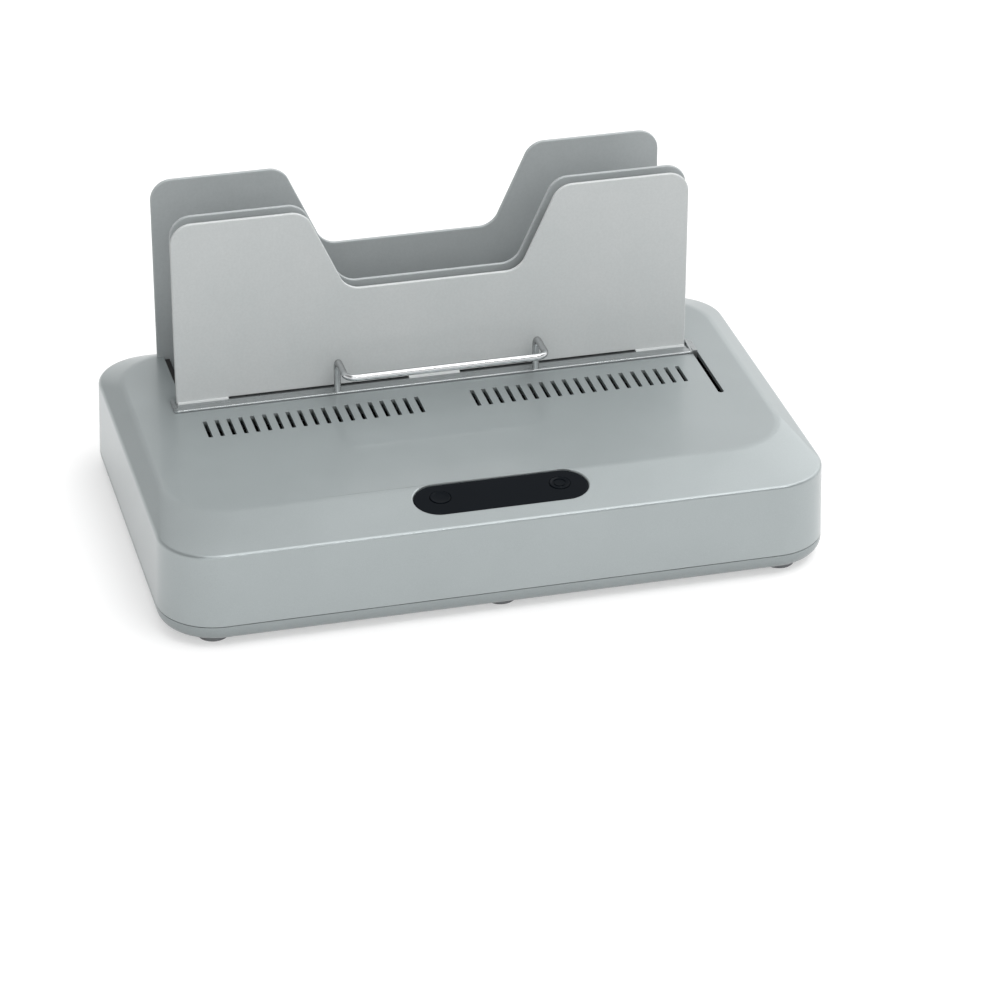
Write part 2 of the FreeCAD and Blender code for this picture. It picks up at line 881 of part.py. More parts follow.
def rack_carriage():
    """The thin sheet under the flange, its upturned ends, and the tongue on the right."""
    half = carriage_half_length
    sheet = box(-half, half, rack_lip_back_y, carriage_rear_y, carriage_bottom, rack_flange_bottom)
    ends = [carriage_end(-half), carriage_end(carriage_inner_end)]
    tongue_low = block_top - tongue_seat_depth
    corners = [
        (tongue_front_y, tongue_low, 0),
        (tongue_rear_y, tongue_low, 0),
        (tongue_rear_y, carriage_end_top, carriage_end_radius),
        (tongue_front_y, carriage_end_top, carriage_end_radius),
    ]
    tongue = outline(corners, side_view(half)).extrude(RIGHT * tongue_thickness)
    return joined([sheet, tongue] + ends)


def wire_handle():
    """One bent wire: two legs in the flange, two arms forward and the bar across."""
    half = handle_span / 2
    foot = rack_flange_bottom
    corners = [
        point(-half, handle_leg_y, foot),
        point(-half, handle_leg_y, handle_z),
        point(-half, handle_bar_y, handle_z),
        point(half, handle_bar_y, handle_z),
        point(half, handle_leg_y, handle_z),
        point(half, handle_leg_y, foot),
    ]
    edges = []
    last = corners[0]
    for before, corner, after in zip(corners, corners[1:], corners[2:]):
        to_before = (before - corner).normalize()
        to_after = (after - corner).normalize()
        start = corner + to_before * handle_bend
        end = corner + to_after * handle_bend
        inward = (to_before + to_after) * (handle_bend * (1 - math.sqrt(0.5)))
        edges.append(Part.LineSegment(last, start).toShape())
        edges.append(Part.Arc(start, corner + inward, end).toShape())
        last = end
    edges.append(Part.LineSegment(last, corners[-1]).toShape())
    section = Part.Wire(Part.makeCircle(handle_wire / 2, corners[0], UP))
    return Part.Wire(edges).makePipeShell([section], True, False)


def slide_block():
    """The block on the tongue's end, bored for the bushing."""
    half = block_width / 2
    corners = [
        (tongue_x - half, rod_z - block_side, block_edge_radius),
        (tongue_x + half, rod_z - block_side, block_edge_radius),
        (tongue_x + half, block_top, block_edge_radius),
        (tongue_x - half, block_top, block_edge_radius),
    ]
    block = outline(corners, front_view(block_front_y)).extrude(BACK * block_length)
    seat_half = tongue_thickness / 2 + shaft_gap
    seat_low = block_top - tongue_seat_depth
    seat = box(
        tongue_x - seat_half,
        tongue_x + seat_half,
        tongue_front_y - shaft_gap,
        tongue_rear_y + shaft_gap,
        seat_low,
        block_top,
    )
    bore = rod(rod_radius + bushing_wall, block_length, point(tongue_x, block_front_y, rod_z), BACK)
    return block.cut([seat, bore])


def slide_bushing():
    """The plain bushing that runs on the rod."""
    start = point(tongue_x, block_front_y, rod_z)
    sleeve = rod(rod_radius + bushing_wall, block_length, start, BACK)
    return sleeve.cut(rod(rod_radius + shaft_gap, block_length, start, BACK))


def guide_rod():
    """The rod along which the rack slides."""
    start = point(tongue_x, front_bracket_y - bracket_thickness, rod_z)
    length = rear_bracket_y + bracket_thickness - start.y
    return rod(rod_radius, length, start, BACK)


def rod_bracket(front):
    """A bent bracket: a leg that holds the rod's end and a foot under the deck."""
    low, high = bracket_foot_span(front)
    inner, outer = (high, low) if front else (low, high)
    step = -bracket_thickness if front else bracket_thickness
    leg_low = rod_z - bracket_width / 2
    foot_low = bracket_seat - bracket_thickness
    corners = [
        (inner, leg_low, 0),
        (inner, bracket_seat, bracket_thickness + block_edge_radius),
        (outer, bracket_seat, 0),
        (outer, foot_low, 0),
        (inner + step, foot_low, block_edge_radius),
        (inner + step, leg_low, 0),
    ]
    half = bracket_width / 2
    sheet = outline(corners, side_view(tongue_x - half)).extrude(RIGHT * bracket_width)
    start = point(tongue_x, min(inner, inner + step), rod_z)
    bore = rod(rod_radius, bracket_thickness, start, BACK)
    hole = rod(hole_radius, bracket_thickness, point(tongue_x, bracket_screw_y(front), foot_low))
    return sheet.cut([bore, hole])


def bracket_screws():
    """One screw for each rod bracket."""
    crown = bracket_seat - bracket_thickness - screw_head_height
    screws = [screw(tongue_x, bracket_screw_y(front), crown, screw_length) for front in (True, False)]
    return Part.makeCompound(screws)


def frame_trough():
    """The heater frame's long trough, with a rail under each plate's flange."""
    front = middle_plate_y
    rear = rear_plate_y + plate_thickness
    rail_low = root_bottom - frame_wall
    half_profile = [
        (rear, frame_floor_height, frame_edge_radius),
        (rear, root_bottom, 0),
        (well_rear_y - flange_length, root_bottom, 0),
        (well_rear_y - flange_length, rail_low, 0),
        (rear - frame_wall, rail_low, 0),
        (rear - frame_wall, frame_floor_top, 0),
    ]
    mirror = front + rear
    other_half = [(mirror - y, z, radius) for y, z, radius in reversed(half_profile)]
    face = outline(half_profile + other_half, side_view(-root_half_width))
    return face.extrude(RIGHT * (2 * root_half_width))


def frame_end(side):
    """End wall, heater rest and well guard at one end of the heater frame."""
    inner = side * end_block_inner_x
    guard = side * (root_half_width - guard_thickness)
    end = side * root_half_width
    low_x, high_x = sorted((inner, end))
    guard_low, guard_high = sorted((guard, end))
    front = middle_plate_y
    rear = rear_plate_y + plate_thickness
    wall_piece = box(guard_low, guard_high, front, rear, frame_floor_height, root_bottom)
    rest = box(low_x, high_x, block_front_gap_y, block_rear_gap_y, frame_floor_height, heater_bottom)
    guard_bottom = flange_top + bend_radius
    guard_top = deck_height - guard_drop
    guard_piece = box(guard_low, guard_high, heater_front_y, heater_rear_y, guard_bottom, guard_top)
    return joined([wall_piece, rest, guard_piece])


def frame_end_cuts(side):
    """The hollow under one heater rest, and the hole for its screw."""
    inner = side * (end_block_inner_x + frame_wall)
    outer = side * (root_half_width - frame_wall)
    low_x, high_x = sorted((inner, outer))
    front = block_front_gap_y + frame_wall
    rear = block_rear_gap_y - frame_wall
    seat = heater_bottom - frame_wall
    hollow = box(low_x, high_x, front, rear, frame_floor_height - cut_overrun, seat)
    hole = rod(hole_radius, frame_wall, point(side * heater_screw_x, well_centre_y, seat))
    return [hollow, hole]


def heater_frame():
    """The heat-resistant moulding that carries plates and heater."""
    frame = joined([frame_trough(), frame_end(-1), frame_end(1)])
    cutters = frame_end_cuts(-1) + frame_end_cuts(1)
    for x, y in plate_screw_places():
        cutters.append(rod(hole_radius, frame_wall, point(x, y, root_bottom - frame_wall)))
    for x, y in frame_screw_places():
        cutters.append(rod(hole_radius, wall, point(x, y, frame_floor_height)))
    return frame.cut(cutters)


def clamp_screw_places():
    """Centres of the screws that hold clamps and straps, with the thickness they hold."""
    places = []
    rows = (heater_front_y + clamp_screw_inset, heater_rear_y - clamp_screw_inset)
    for y in rows:
        places += [(x, y, clamp_thickness) for x in spread(clamp_count, clamp_pitch)]
        places += [(x, y, strap_thickness) for x in (-sensor_offset_x, sensor_offset_x)]
    return places


def heater_plate():
    """The aluminium floor of the well, grooved below for the element."""
    half = heater_half_length
    plate = box(-half, half, heater_front_y, heater_rear_y, heater_bottom, heater_top)
    groove_x = element_half_length + fit_gap
    groove_y = heater_groove_width / 2
    groove_top = heater_bottom + element_thickness
    low_y = well_centre_y - groove_y
    high_y = well_centre_y + groove_y
    cutters = [box(-groove_x, groove_x, low_y, high_y, heater_bottom, groove_top)]
    for x, y, held in clamp_screw_places():
        depth = clamp_screw_length - held + fit_gap
        cutters.append(rod(hole_radius, depth, point(x, y, heater_bottom)))
    for x in (-heater_screw_x, heater_screw_x):
        depth = heater_screw_length - frame_wall + fit_gap
        cutters.append(rod(hole_radius, depth, point(x, well_centre_y, heater_bottom)))
    return plate.cut(cutters)


def heating_element():
    """The flat strip that fills the heater plate's groove."""
    half_x = element_half_length
    half_y = heater_groove_width / 2 - fit_gap
    top = heater_bottom + element_thickness
    return box(-half_x, half_x, well_centre_y - half_y, well_centre_y + half_y, heater_bottom, top)


def element_clamps():
    """Bars that press the element into its groove."""
    half = clamp_width / 2
    low = heater_bottom - clamp_thickness
    bars = []
    for x in spread(clamp_count, clamp_pitch):
        bar = box(x - half, x + half, heater_front_y, heater_rear_y, low, heater_bottom)
        holes = []
        for y in (heater_front_y + clamp_screw_inset, heater_rear_y - clamp_screw_inset):
            holes.append(rod(hole_radius, clamp_thickness, point(x, y, low)))
        bars.append(bar.cut(holes))
    return Part.makeCompound(bars)


def clamp_screws():
    """The screws of clamps and straps."""
    screws = []
    for x, y, held in clamp_screw_places():
        crown = heater_bottom - held - screw_head_height
        screws.append(screw(x, y, crown, clamp_screw_length))
    return Part.makeCompound(screws)


def sensor_strap(x):
    """A thin strap across the heater plate's underside."""
    half = strap_width / 2
    low = heater_bottom - strap_thickness
    strap = box(x - half, x + half, heater_front_y, heater_rear_y, low, heater_bottom)
    holes = []
    for y in (heater_front_y + clamp_screw_inset, heater_rear_y - clamp_screw_inset):
        holes.append(rod(hole_radius, strap_thickness, point(x, y, low)))
    return strap.cut(holes)


def thermostat():
    """A disc thermostat riveted to its strap."""
    bottom = heater_bottom - thermostat_height
    disc = rod(thermostat_radius, thermostat_height, point(sensor_offset_x, well_centre_y, bottom))
    return joined([sensor_strap(sensor_offset_x), disc])


def fuse_axis():
    """Start of the thermal fuse's axis."""
    return point(-sensor_offset_x - fuse_length / 2, well_centre_y, heater_bottom - fuse_radius)


def thermal_fuse():
    """A fuse that lies against the element."""
    return rod(fuse_radius, fuse_length, fuse_axis(), RIGHT)


def fuse_strap():
    """The strap that loops under the fuse."""
    start = fuse_axis() + RIGHT * ((fuse_length - strap_width) / 2)
    loop = rod(fuse_radius + strap_thickness, strap_width, start, RIGHT)
    above = loop.BoundBox.ZMax + cut_overrun
    half = strap_width
    y0 = well_centre_y - half
    y1 = well_centre_y + half
    top_cut = box(-sensor_offset_x - half, -sensor_offset_x + half, y0, y1, heater_bottom, above)
    bore = rod(fuse_radius + shaft_gap, fuse_length, fuse_axis(), RIGHT)
    strap = joined([sensor_strap(-sensor_offset_x), loop])
    return strap.cut([top_cut, bore])


def heater_end_screws():
    """One screw up through each heater rest."""
    crown = heater_bottom - frame_wall - screw_head_height
    places = (-heater_screw_x, heater_screw_x)
    screws = [screw(x, well_centre_y, crown, heater_screw_length) for x in places]
    return Part.makeCompound(screws)


def heat_shield():
    """A bent sheet between the heater and the frame's floor."""
    front = middle_plate_y + frame_wall + running_gap
    rear = rear_plate_y + plate_thickness - frame_wall - running_gap
    top = shield_top
    inner_low = frame_floor_top + shield_thickness
    corners = [
        (front, frame_floor_top, bend_radius),
        (rear, frame_floor_top, bend_radius),
        (rear, top, 0),
        (rear - shield_thickness, top, 0),
        (rear - shield_thickness, inner_low, bend_radius - shield_thickness),
        (front + shield_thickness, inner_low, bend_radius - shield_thickness),
        (front + shield_thickness, top, 0),
        (front, top, 0),
    ]
    face = outline(corners, side_view(-shield_half_length))
    return face.extrude(RIGHT * (2 * shield_half_length))


def frame_screws():
    """The screws from the heater frame into the tray's posts."""
    crown = frame_floor_top + screw_head_height
    screws = [screw(x, y, crown, screw_length, DOWN) for x, y in frame_screw_places()]
    return Part.makeCompound(screws)


def plate_screws():
    """The screws through both plates' flanges."""
    crown = flange_top + screw_head_height
    screws = [screw(x, y, crown, screw_length, DOWN) for x, y in plate_screw_places()]
    return Part.makeCompound(screws)


def cover_screws():
    """The screws that hold the cover, from below."""
    crown = cover_screw_seat - screw_head_height
    screws = [screw(x, y, crown, cover_screw_length) for x, y in cover_screw_places()]
    return Part.makeCompound(screws)


def panel_lens():
    """The black gloss lens, bevelled along its rim and bored for the buttons."""
    half_x = panel_length / 2
    half_y = panel_width / 2
    low = rounded_box(half_x, half_y, half_y, lens_bottom, -panel_recess - lens_chamfer)
    rim = plan_wire(half_x, -half_y, half_y, half_y, -panel_recess - lens_chamfer)
    top_y = half_y - lens_chamfer
    top = plan_wire(half_x - lens_chamfer, -top_y, top_y, top_y, -panel_recess)
    bevel = Part.makeLoft([rim, top], True, True)
    holes = []
    for x in button_places().values():
        start = point(x, button_offset_y, lens_bottom)
        holes.append(rod(button_radius + running_gap, lens_thickness, start))
    return on_panel(joined([low, bevel]).cut(holes))


def round_button(name):
    """A dished cap with a retaining flange and a stem; the ready button has a ring."""
    x = button_places()[name]
    centre = point(x, button_offset_y, 0)
    profile = [
        (0, plunger_top),
        (button_stem_radius, plunger_top),
        (button_stem_radius, button_flange_bottom),
        (button_radius + button_flange, button_flange_bottom),
        (button_radius + button_flange, button_flange_top),
        (button_radius, button_flange_top),
        (button_radius, button_top),
        (0, button_top),
    ]
    cap = turned(profile, centre)
    ball_z = button_top - button_dish_depth + button_dish_radius
    cutters = [Part.makeSphere(button_dish_radius, centre + UP * ball_z)]
    if name == "ready":
        start = centre + UP * (button_top - button_dish_depth - ring_depth)
        ring = rod(ring_inner_radius + ring_width, ring_depth + button_dish_depth, start)
        cutters.append(ring.cut(rod(ring_inner_radius, ring_depth + button_dish_depth, start)))
    return on_panel(cap.cut(cutters))


def switch_plunger(name):
    """The plunger of a push switch, which the button's stem drives."""
    start = point(button_places()[name], button_offset_y, plunger_bottom)
    return on_panel(rod(plunger_radius, plunger_top - plunger_bottom, start))


def push_switch(name):
    """The body of a push switch, with room below its plunger."""
    x = button_places()[name]
    half = switch_cube / 2
    y0 = button_offset_y - half
    y1 = button_offset_y + half
    body = box(x - half, x + half, y0, y1, -board_depth, switch_top)
    bore_bottom = plunger_bottom - button_travel - running_gap
    start = point(x, button_offset_y, bore_bottom)
    bore = rod(plunger_radius + shaft_gap, switch_top - bore_bottom, start)
    return on_panel(body.cut(bore))


def panel_board():
    """The board behind the panel."""
    half_x = board_length / 2
    half_y = board_width / 2
    low = -board_depth - board_thickness
    board = box(-half_x, half_x, -half_y, half_y, low, -board_depth)
    holes = [rod(hole_radius, board_thickness, point(x, y, low)) for x, y in board_hole_places()]
    return on_panel(board.cut(holes))


def board_screws():
    """The screws from the panel board up into the cover's bosses."""
    crown = -board_depth - board_thickness - screw_head_height
    screws = [screw(x, y, crown, board_screw_length) for x, y in board_hole_places()]
    return on_panel(Part.makeCompound(screws))


def status_lamps():
    """Domed lamps that shine through the lens."""
    lamps = []
    for x in spread(lamp_count, lamp_spacing):
        start = point(x, 0, -board_depth)
        post = rod(lamp_radius, lamp_height - lamp_radius, start)
        dome = Part.makeSphere(lamp_radius, start + UP * (lamp_height - lamp_radius))
        lamps.append(joined([post, dome]))
    return on_panel(Part.makeCompound(lamps))


def buzzer():
    """A round buzzer with its sound hole, on the board's lower half."""
    start = point(buzzer_offset_x + buzzer_radius, -board_width / 2 + buzzer_radius, -board_depth)
    hole_start = start + UP * (buzzer_height / 2)
    case = rod(buzzer_radius, buzzer_height, start)
    return on_panel(case.cut(rod(buzzer_hole_radius, buzzer_height / 2, hole_start)))


def power_board():
    """The mains board on its standoffs."""
    x1 = power_board_x + power_board_length
    y1 = power_board_y + power_board_width
    board = box(power_board_x, x1, power_board_y, y1, power_board_height, power_board_top)
    holes = []
    for x, y in power_board_hole_places():
        holes.append(rod(hole_radius, board_thickness, point(x, y, power_board_height)))
    return board.cut(holes)


def power_board_screws():
    """The screws of the mains board."""
    crown = power_board_top + screw_head_height
    screws = [screw(x, y, crown, screw_length, DOWN) for x, y in power_board_hole_places()]
    return Part.makeCompound(screws)


def transformer():
    """A small transformer: winding bobbin with the laminated core round it."""
    x0 = power_board_x + component_margin
    x1 = x0 + transformer_length
    y0 = power_board_y + component_margin
    y1 = y0 + transformer_width
    top = power_board_top + transformer_height
    bobbin = box(x0, x1, y0 + core_overhang, y1 - core_overhang, power_board_top, top)
    core_low = power_board_top + (transformer_height - core_height) / 2
    core = box(x0 + core_overhang, x1 - core_overhang, y0, y1, core_low, core_low + core_height)
    return joined([bobbin, core])


def relay():
    """The relay that switches the heater."""
    x0 = power_board_x + component_margin + transformer_length + component_gap
    y0 = power_board_y + standoff_inset
    top = power_board_top + relay_height
    case = box(x0, x0 + relay_length, y0, y0 + relay_width, power_board_top, top)
    return case.makeFillet(relay_edge_radius, case.Edges)


def terminal_block():
    """The terminal block where inlet, switch and heater meet the board."""
    x0 = power_board_x + component_margin + transformer_length + component_gap
    y1 = power_board_y + power_board_width - standoff_inset
    y0 = y1 - terminal_width
    top = power_board_top + terminal_height
    block = box(x0, x0 + terminal_length, y0, y1, power_board_top, top)
    holes = []
    centre_x = x0 + terminal_length / 2
    for x in spread(terminal_ways, terminal_length / terminal_ways):
        start = point(centre_x + x, y0 + terminal_width / 2, power_board_top + terminal_height / 2)
        holes.append(rod(terminal_hole_radius, terminal_height / 2, start))
        holes.append(rod(terminal_hole_radius, terminal_width / 2, start, BACK))
    return block.cut(holes)


def service_plate(length, width, y):
    """The rounded flange of a fitting in the service recess."""
    corners = [(-length, -width), (length, -width), (length, width), (-length, width)]
    shifted = [(y + a / 2, service_height + b / 2, service_flange_radius) for a, b in corners]
    face = outline(shifted, side_view(service_face_x))
    return face.extrude(RIGHT * service_flange_thickness)


def inlet_section(inset, x, length):
    """The inlet's six-sided section, drawn in by an inset and extruded inwards."""
    half_y = inlet_body_length / 2 - inset
    half_z = inlet_body_width / 2 - inset
    low = service_height - half_z
    high = service_height + half_z
    corners = [
        (inlet_y - half_y, low, 0),
        (inlet_y + half_y, low, 0),
        (inlet_y + half_y, high - inlet_chamfer, 0),
        (inlet_y + half_y - inlet_chamfer, high, 0),
        (inlet_y - half_y + inlet_chamfer, high, 0),
        (inlet_y - half_y, high - inlet_chamfer, 0),
    ]
    return outline(corners, side_view(x)).extrude(RIGHT * -length)


def inlet_pins():
    """Three flat pins that stand in the socket and come out behind it."""
    back = service_flange_x - inlet_cavity_depth
    low_x = service_face_x - inlet_body_depth - pin_tail
    high_x = back + pin_length
    places = ((-pin_spacing / 2, -pin_rise), (0, pin_rise), (pin_spacing / 2, -pin_rise))
    half_y = pin_thickness / 2
    half_z = pin_width / 2
    pins = []
    for a, b in places:
        y = inlet_y + a
        z = service_height + b
        pins.append(box(low_x, high_x, y - half_y, y + half_y, z - half_z, z + half_z))
    return Part.makeCompound(pins)


def power_inlet():
    """The mains inlet: flange, body and open socket."""
    body = inlet_section(0, service_face_x, inlet_body_depth)
    flange = service_plate(inlet_flange_length, inlet_flange_width, inlet_y)
    cavity = inlet_section(inlet_wall, service_flange_x, inlet_cavity_depth)
    return joined([body, flange]).cut([cavity] + inlet_pins().Solids)


def rocker_pivot(z):
    """A point of the rocker's upright pivot axis."""
    return point(rocker_pivot_x, rocker_y, z)


def power_switch():
    """The rocker switch's body, with a round pocket and trunnion holes."""
    half_y = switch_body_length / 2
    half_z = switch_body_width / 2
    body = box(
        service_face_x - switch_body_depth,
        service_face_x,
        rocker_y - half_y,
        rocker_y + half_y,
        service_height - half_z,
        service_height + half_z,
    )
    flange = service_plate(switch_flange_length, switch_flange_width, rocker_y)
    pocket_half = rocker_width / 2 + running_gap
    pocket_radius = rocker_radius + running_gap
    pocket = rod(pocket_radius, 2 * pocket_half, rocker_pivot(service_height - pocket_half))
    pin_half = rocker_width / 2 + trunnion_length + shaft_gap
    pin_radius = trunnion_radius + shaft_gap
    pin_hole = rod(pin_radius, 2 * pin_half, rocker_pivot(service_height - pin_half))
    return joined([body, flange]).cut([pocket, pin_hole])


def power_rocker():
    """The rocker: two faces that meet in a valley, on trunnions, tipped to off."""
    low = service_height - rocker_width / 2
    reach = rocker_radius
    edge_x = rocker_pivot_x + rocker_valley + reach * math.tan(math.radians(rocker_half_angle))
    corners = [
        (rocker_pivot_x - rocker_back, rocker_y - reach, 0),
        (rocker_pivot_x - rocker_back, rocker_y + reach, 0),
        (edge_x, rocker_y + reach, 0),
        (rocker_pivot_x + rocker_valley, rocker_y, 0),
        (edge_x, rocker_y - reach, 0),
    ]
    faces = outline(corners, plan_view(low)).extrude(UP * rocker_width)
    drum = rod(rocker_radius, rocker_width, rocker_pivot(low))
    pin_half = rocker_width / 2 + trunnion_length
    pin = rod(trunnion_radius, 2 * pin_half, rocker_pivot(service_height - pin_half))
    rocker = joined([drum.common(faces), pin])
    rocker.rotate(rocker_pivot(service_height), UP, -rocker_half_angle)
    return rocker


def nodes():
    """Every named piece of the machine."""
    shapes = {name: rubber_foot(x, y) for name, (x, y) in foot_places().items()}
    shapes["top_cover"] = top_cover()
    shapes["base_tray"] = base_tray()
    shapes["cover_screws"] = cover_screws()
    shapes["rear_support_plate"] = fixed_plate(rear_plate_y, -1)
    shapes["middle_support_plate"] = fixed_plate(middle_plate_y, 1)
    shapes["front_support_plate"] = front_support_plate()
    shapes["rack_carriage"] = rack_carriage()
    shapes["wire_handle"] = wire_handle()
    shapes["slide_block"] = slide_block()
    shapes["slide_bushing"] = slide_bushing()
    shapes["guide_rod"] = guide_rod()
    shapes["front_rod_bracket"] = rod_bracket(True)
    shapes["rear_rod_bracket"] = rod_bracket(False)
    shapes["bracket_screws"] = bracket_screws()
    shapes["heater_frame"] = heater_frame()
    shapes["frame_screws"] = frame_screws()
    shapes["plate_screws"] = plate_screws()
    shapes["heater_plate"] = heater_plate()
    shapes["heating_element"] = heating_element()
    shapes["element_clamps"] = element_clamps()
    shapes["clamp_screws"] = clamp_screws()
    shapes["thermostat"] = thermostat()
    shapes["thermal_fuse"] = thermal_fuse()
    shapes["fuse_strap"] = fuse_strap()
    shapes["heater_end_screws"] = heater_end_screws()
    shapes["heat_shield"] = heat_shield()
    shapes["panel_lens"] = panel_lens()
    shapes["panel_board"] = panel_board()
    shapes["board_screws"] = board_screws()
    shapes["status_lamps"] = status_lamps()
    shapes["buzzer"] = buzzer()
    for name in button_places():
        shapes[name + "_button"] = round_button(name)
        shapes[name + "_plunger"] = switch_plunger(name)
        shapes[name + "_switch"] = push_switch(name)
    shapes["power_board"] = power_board()
    shapes["power_board_screws"] = power_board_screws()
    shapes["transformer"] = transformer()
    shapes["relay"] = relay()
    shapes["terminal_block"] = terminal_block()
    shapes["power_inlet"] = power_inlet()
    shapes["inlet_pins"] = inlet_pins()
    shapes["power_switch"] = power_switch()
    shapes["power_rocker"] = power_rocker()
    return shapes


def main():
    """Writes one STEP file for each piece."""
    os.makedirs("parts", exist_ok=True)
    for name, shape in nodes().items():
        shape.exportStep("parts/%s.step" % name)
        print(name, len(shape.Solids), shape.isValid(), round(shape.Volume))


main()
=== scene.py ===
"""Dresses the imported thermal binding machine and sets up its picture.

The painted cover and tray, the scooped plates, the cooling rack with its wire handle,
the control panel and the feet are modelled here in full detail. Everything inside the
body keeps its solid and gets the finish of what it is made of. Sizes and places are in
mm and turns in degrees, apart from the studio's, which are in metres.
"""
import logging
import math
from contextlib import contextmanager
from dataclasses import dataclass, replace
from enum import Enum
from typing import Any, Callable, Iterator, Sequence

import bmesh
import bpy
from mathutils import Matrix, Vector


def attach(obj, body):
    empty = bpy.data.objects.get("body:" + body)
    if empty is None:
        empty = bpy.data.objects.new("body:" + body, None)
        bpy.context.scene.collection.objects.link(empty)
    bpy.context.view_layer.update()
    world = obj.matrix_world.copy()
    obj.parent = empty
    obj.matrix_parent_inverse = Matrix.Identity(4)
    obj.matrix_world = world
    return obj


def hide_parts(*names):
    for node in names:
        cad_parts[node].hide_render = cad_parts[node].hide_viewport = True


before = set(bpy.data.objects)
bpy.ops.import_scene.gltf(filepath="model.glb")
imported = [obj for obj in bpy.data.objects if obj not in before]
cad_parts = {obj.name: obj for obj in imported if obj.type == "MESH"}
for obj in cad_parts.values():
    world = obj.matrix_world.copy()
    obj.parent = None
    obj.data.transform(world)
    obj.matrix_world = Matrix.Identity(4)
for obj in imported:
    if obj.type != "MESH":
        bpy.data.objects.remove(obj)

log = logging.getLogger("binding_machine")

Piece = bpy.types.Object
Tree = bpy.types.NodeTree
Socket = bpy.types.NodeSocket
Pair = tuple[float, float]
Triple = tuple[float, float, float]
Corners = tuple[Triple, Triple]
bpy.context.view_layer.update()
MM = 0.001

# How close two lengths are when they agree, and how near to an axis a way is when it runs
# along it, faces it or is level. An edge is sharp past one bend, and open at the other.
SAME, STRAIGHT, FACING, LEVEL = 0.02, 0.99, 0.9, 0.05
SHARP, OPEN = 50.0, 170.0
# The least inset, which only gives a face a rim of its own
HAIR = 0.001
# Points closer than this are one, after a bevel and after a cut
BEVEL_MERGE, CUT_MERGE = 0.005, 0.002


# ---- The bench: primitives, picking and the operators that shape a piece ----

class Stock(Enum):
    """What a piece is started from."""

    BLOCK = "block"
    SHEET = "sheet"
    DRUM = "drum"
    DISC = "disc"


class Kind(Enum):
    """What is picked on a piece."""

    POINTS = "VERT"
    EDGES = "EDGE"
    FACES = "FACE"


class Trim(Enum):
    """How one piece is combined with another."""

    CUT = "DIFFERENCE"
    WELD = "UNION"
    KEEP_COMMON = "INTERSECT"


def near(value: float, target: float, slack: float = SAME) -> bool:
    """Whether two lengths agree."""
    return abs(value - target) < slack


@dataclass(frozen=True)
class Spot:
    """Where a point, an edge or a face lies, which way it runs or faces, and its bend."""

    place: Vector
    way: Vector
    bend: float = 0.0

    def at(self, **levels: float) -> bool:
        """Whether it lies at a given x, y or z."""
        return all(near(getattr(self.place, axis), level) for axis, level in levels.items())

    def along(self, axis: str) -> bool:
        """Whether it runs or faces along an axis, either way."""
        return abs(getattr(self.way, axis)) > STRAIGHT

    def faces(self, axis: str, sign: int) -> bool:
        """Whether it faces up (1) or down (-1) an axis."""
        return getattr(self.way, axis) * sign > FACING

    @property
    def sharp(self) -> bool:
        """Whether an edge is a corner."""
        return self.bend > SHARP


Test = Callable[[Spot], bool]


def every(spot: Spot) -> bool:
    """Passes every spot."""
    return True


def metres(x: float, y: float, z: float) -> Vector:
    """A place or a size in mm, turned to metres."""
    return Vector((x, y, z)) * MM


def take(*pieces: Piece) -> None:
    """Selects pieces alone and makes the first active.

    Args:
        pieces: the pieces.
    """
    bpy.ops.object.select_all(action="DESELECT")
    for piece in pieces:
        piece.select_set(True)
    bpy.context.view_layer.objects.active = pieces[0]


def start(
    name: str, stock: Stock, centre: Triple, size: Triple, turn: Triple = (0, 0, 0),
    points: int = 48,
) -> Piece:
    """Adds a primitive at its size and place.

    Args:
        name: name of the new piece.
        stock: the primitive it starts from.
        centre: its middle.
        size: its size before it is turned.
        turn: its turn about X, Y and Z.
        points: points round a drum or a disc.

    Returns:
        The piece, with its place in its mesh.
    """
    bpy.ops.object.select_all(action="DESELECT")
    at = {"location": metres(*centre), "rotation": [math.radians(a) for a in turn]}
    if stock is Stock.BLOCK:
        bpy.ops.mesh.primitive_cube_add(size=1.0, **at)
    elif stock is Stock.SHEET:
        bpy.ops.mesh.primitive_plane_add(size=1.0, **at)
    elif stock is Stock.DRUM:
        bpy.ops.mesh.primitive_cylinder_add(vertices=points, radius=0.5, depth=1.0, **at)
    else:
        bpy.ops.mesh.primitive_circle_add(vertices=points, radius=0.5, fill_type="NGON", **at)
    piece = bpy.context.active_object
    piece.name = piece.data.name = name
    piece.scale = metres(*size)
    bpy.ops.object.transform_apply(location=True, rotation=True, scale=True)
    return piece


def block(name: str, low: Triple, high: Triple) -> Piece:
    """Adds a block.

    Args:
        name: name of the new piece.
        low: its lowest corner.
        high: its highest corner.

    Returns:
        The block.
    """
    centre = tuple((a + b) / 2 for a, b in zip(low, high))
    size = tuple(b - a for a, b in zip(low, high))
    return start(name, Stock.BLOCK, centre, size)


def drum(name: str, radius: float, low: Triple, height: float, points: int = 32) -> Piece:
    """An upright drum from the middle of its lower end."""
    centre = (low[0], low[1], low[2] + height / 2)
    return start(name, Stock.DRUM, centre, (2 * radius, 2 * radius, height), points=points)


@contextmanager
def at_bench(piece: Piece) -> Iterator[None]:
    """Opens a piece in edit mode with nothing selected, and closes it after the work.

    Args:
        piece: the piece to shape.

    Yields:
        Nothing, once the piece is open.
    """
    take(piece)
    bpy.ops.object.mode_set(mode="EDIT")
    bpy.ops.mesh.select_all(action="DESELECT")
    yield
    bpy.ops.object.mode_set(mode="OBJECT")


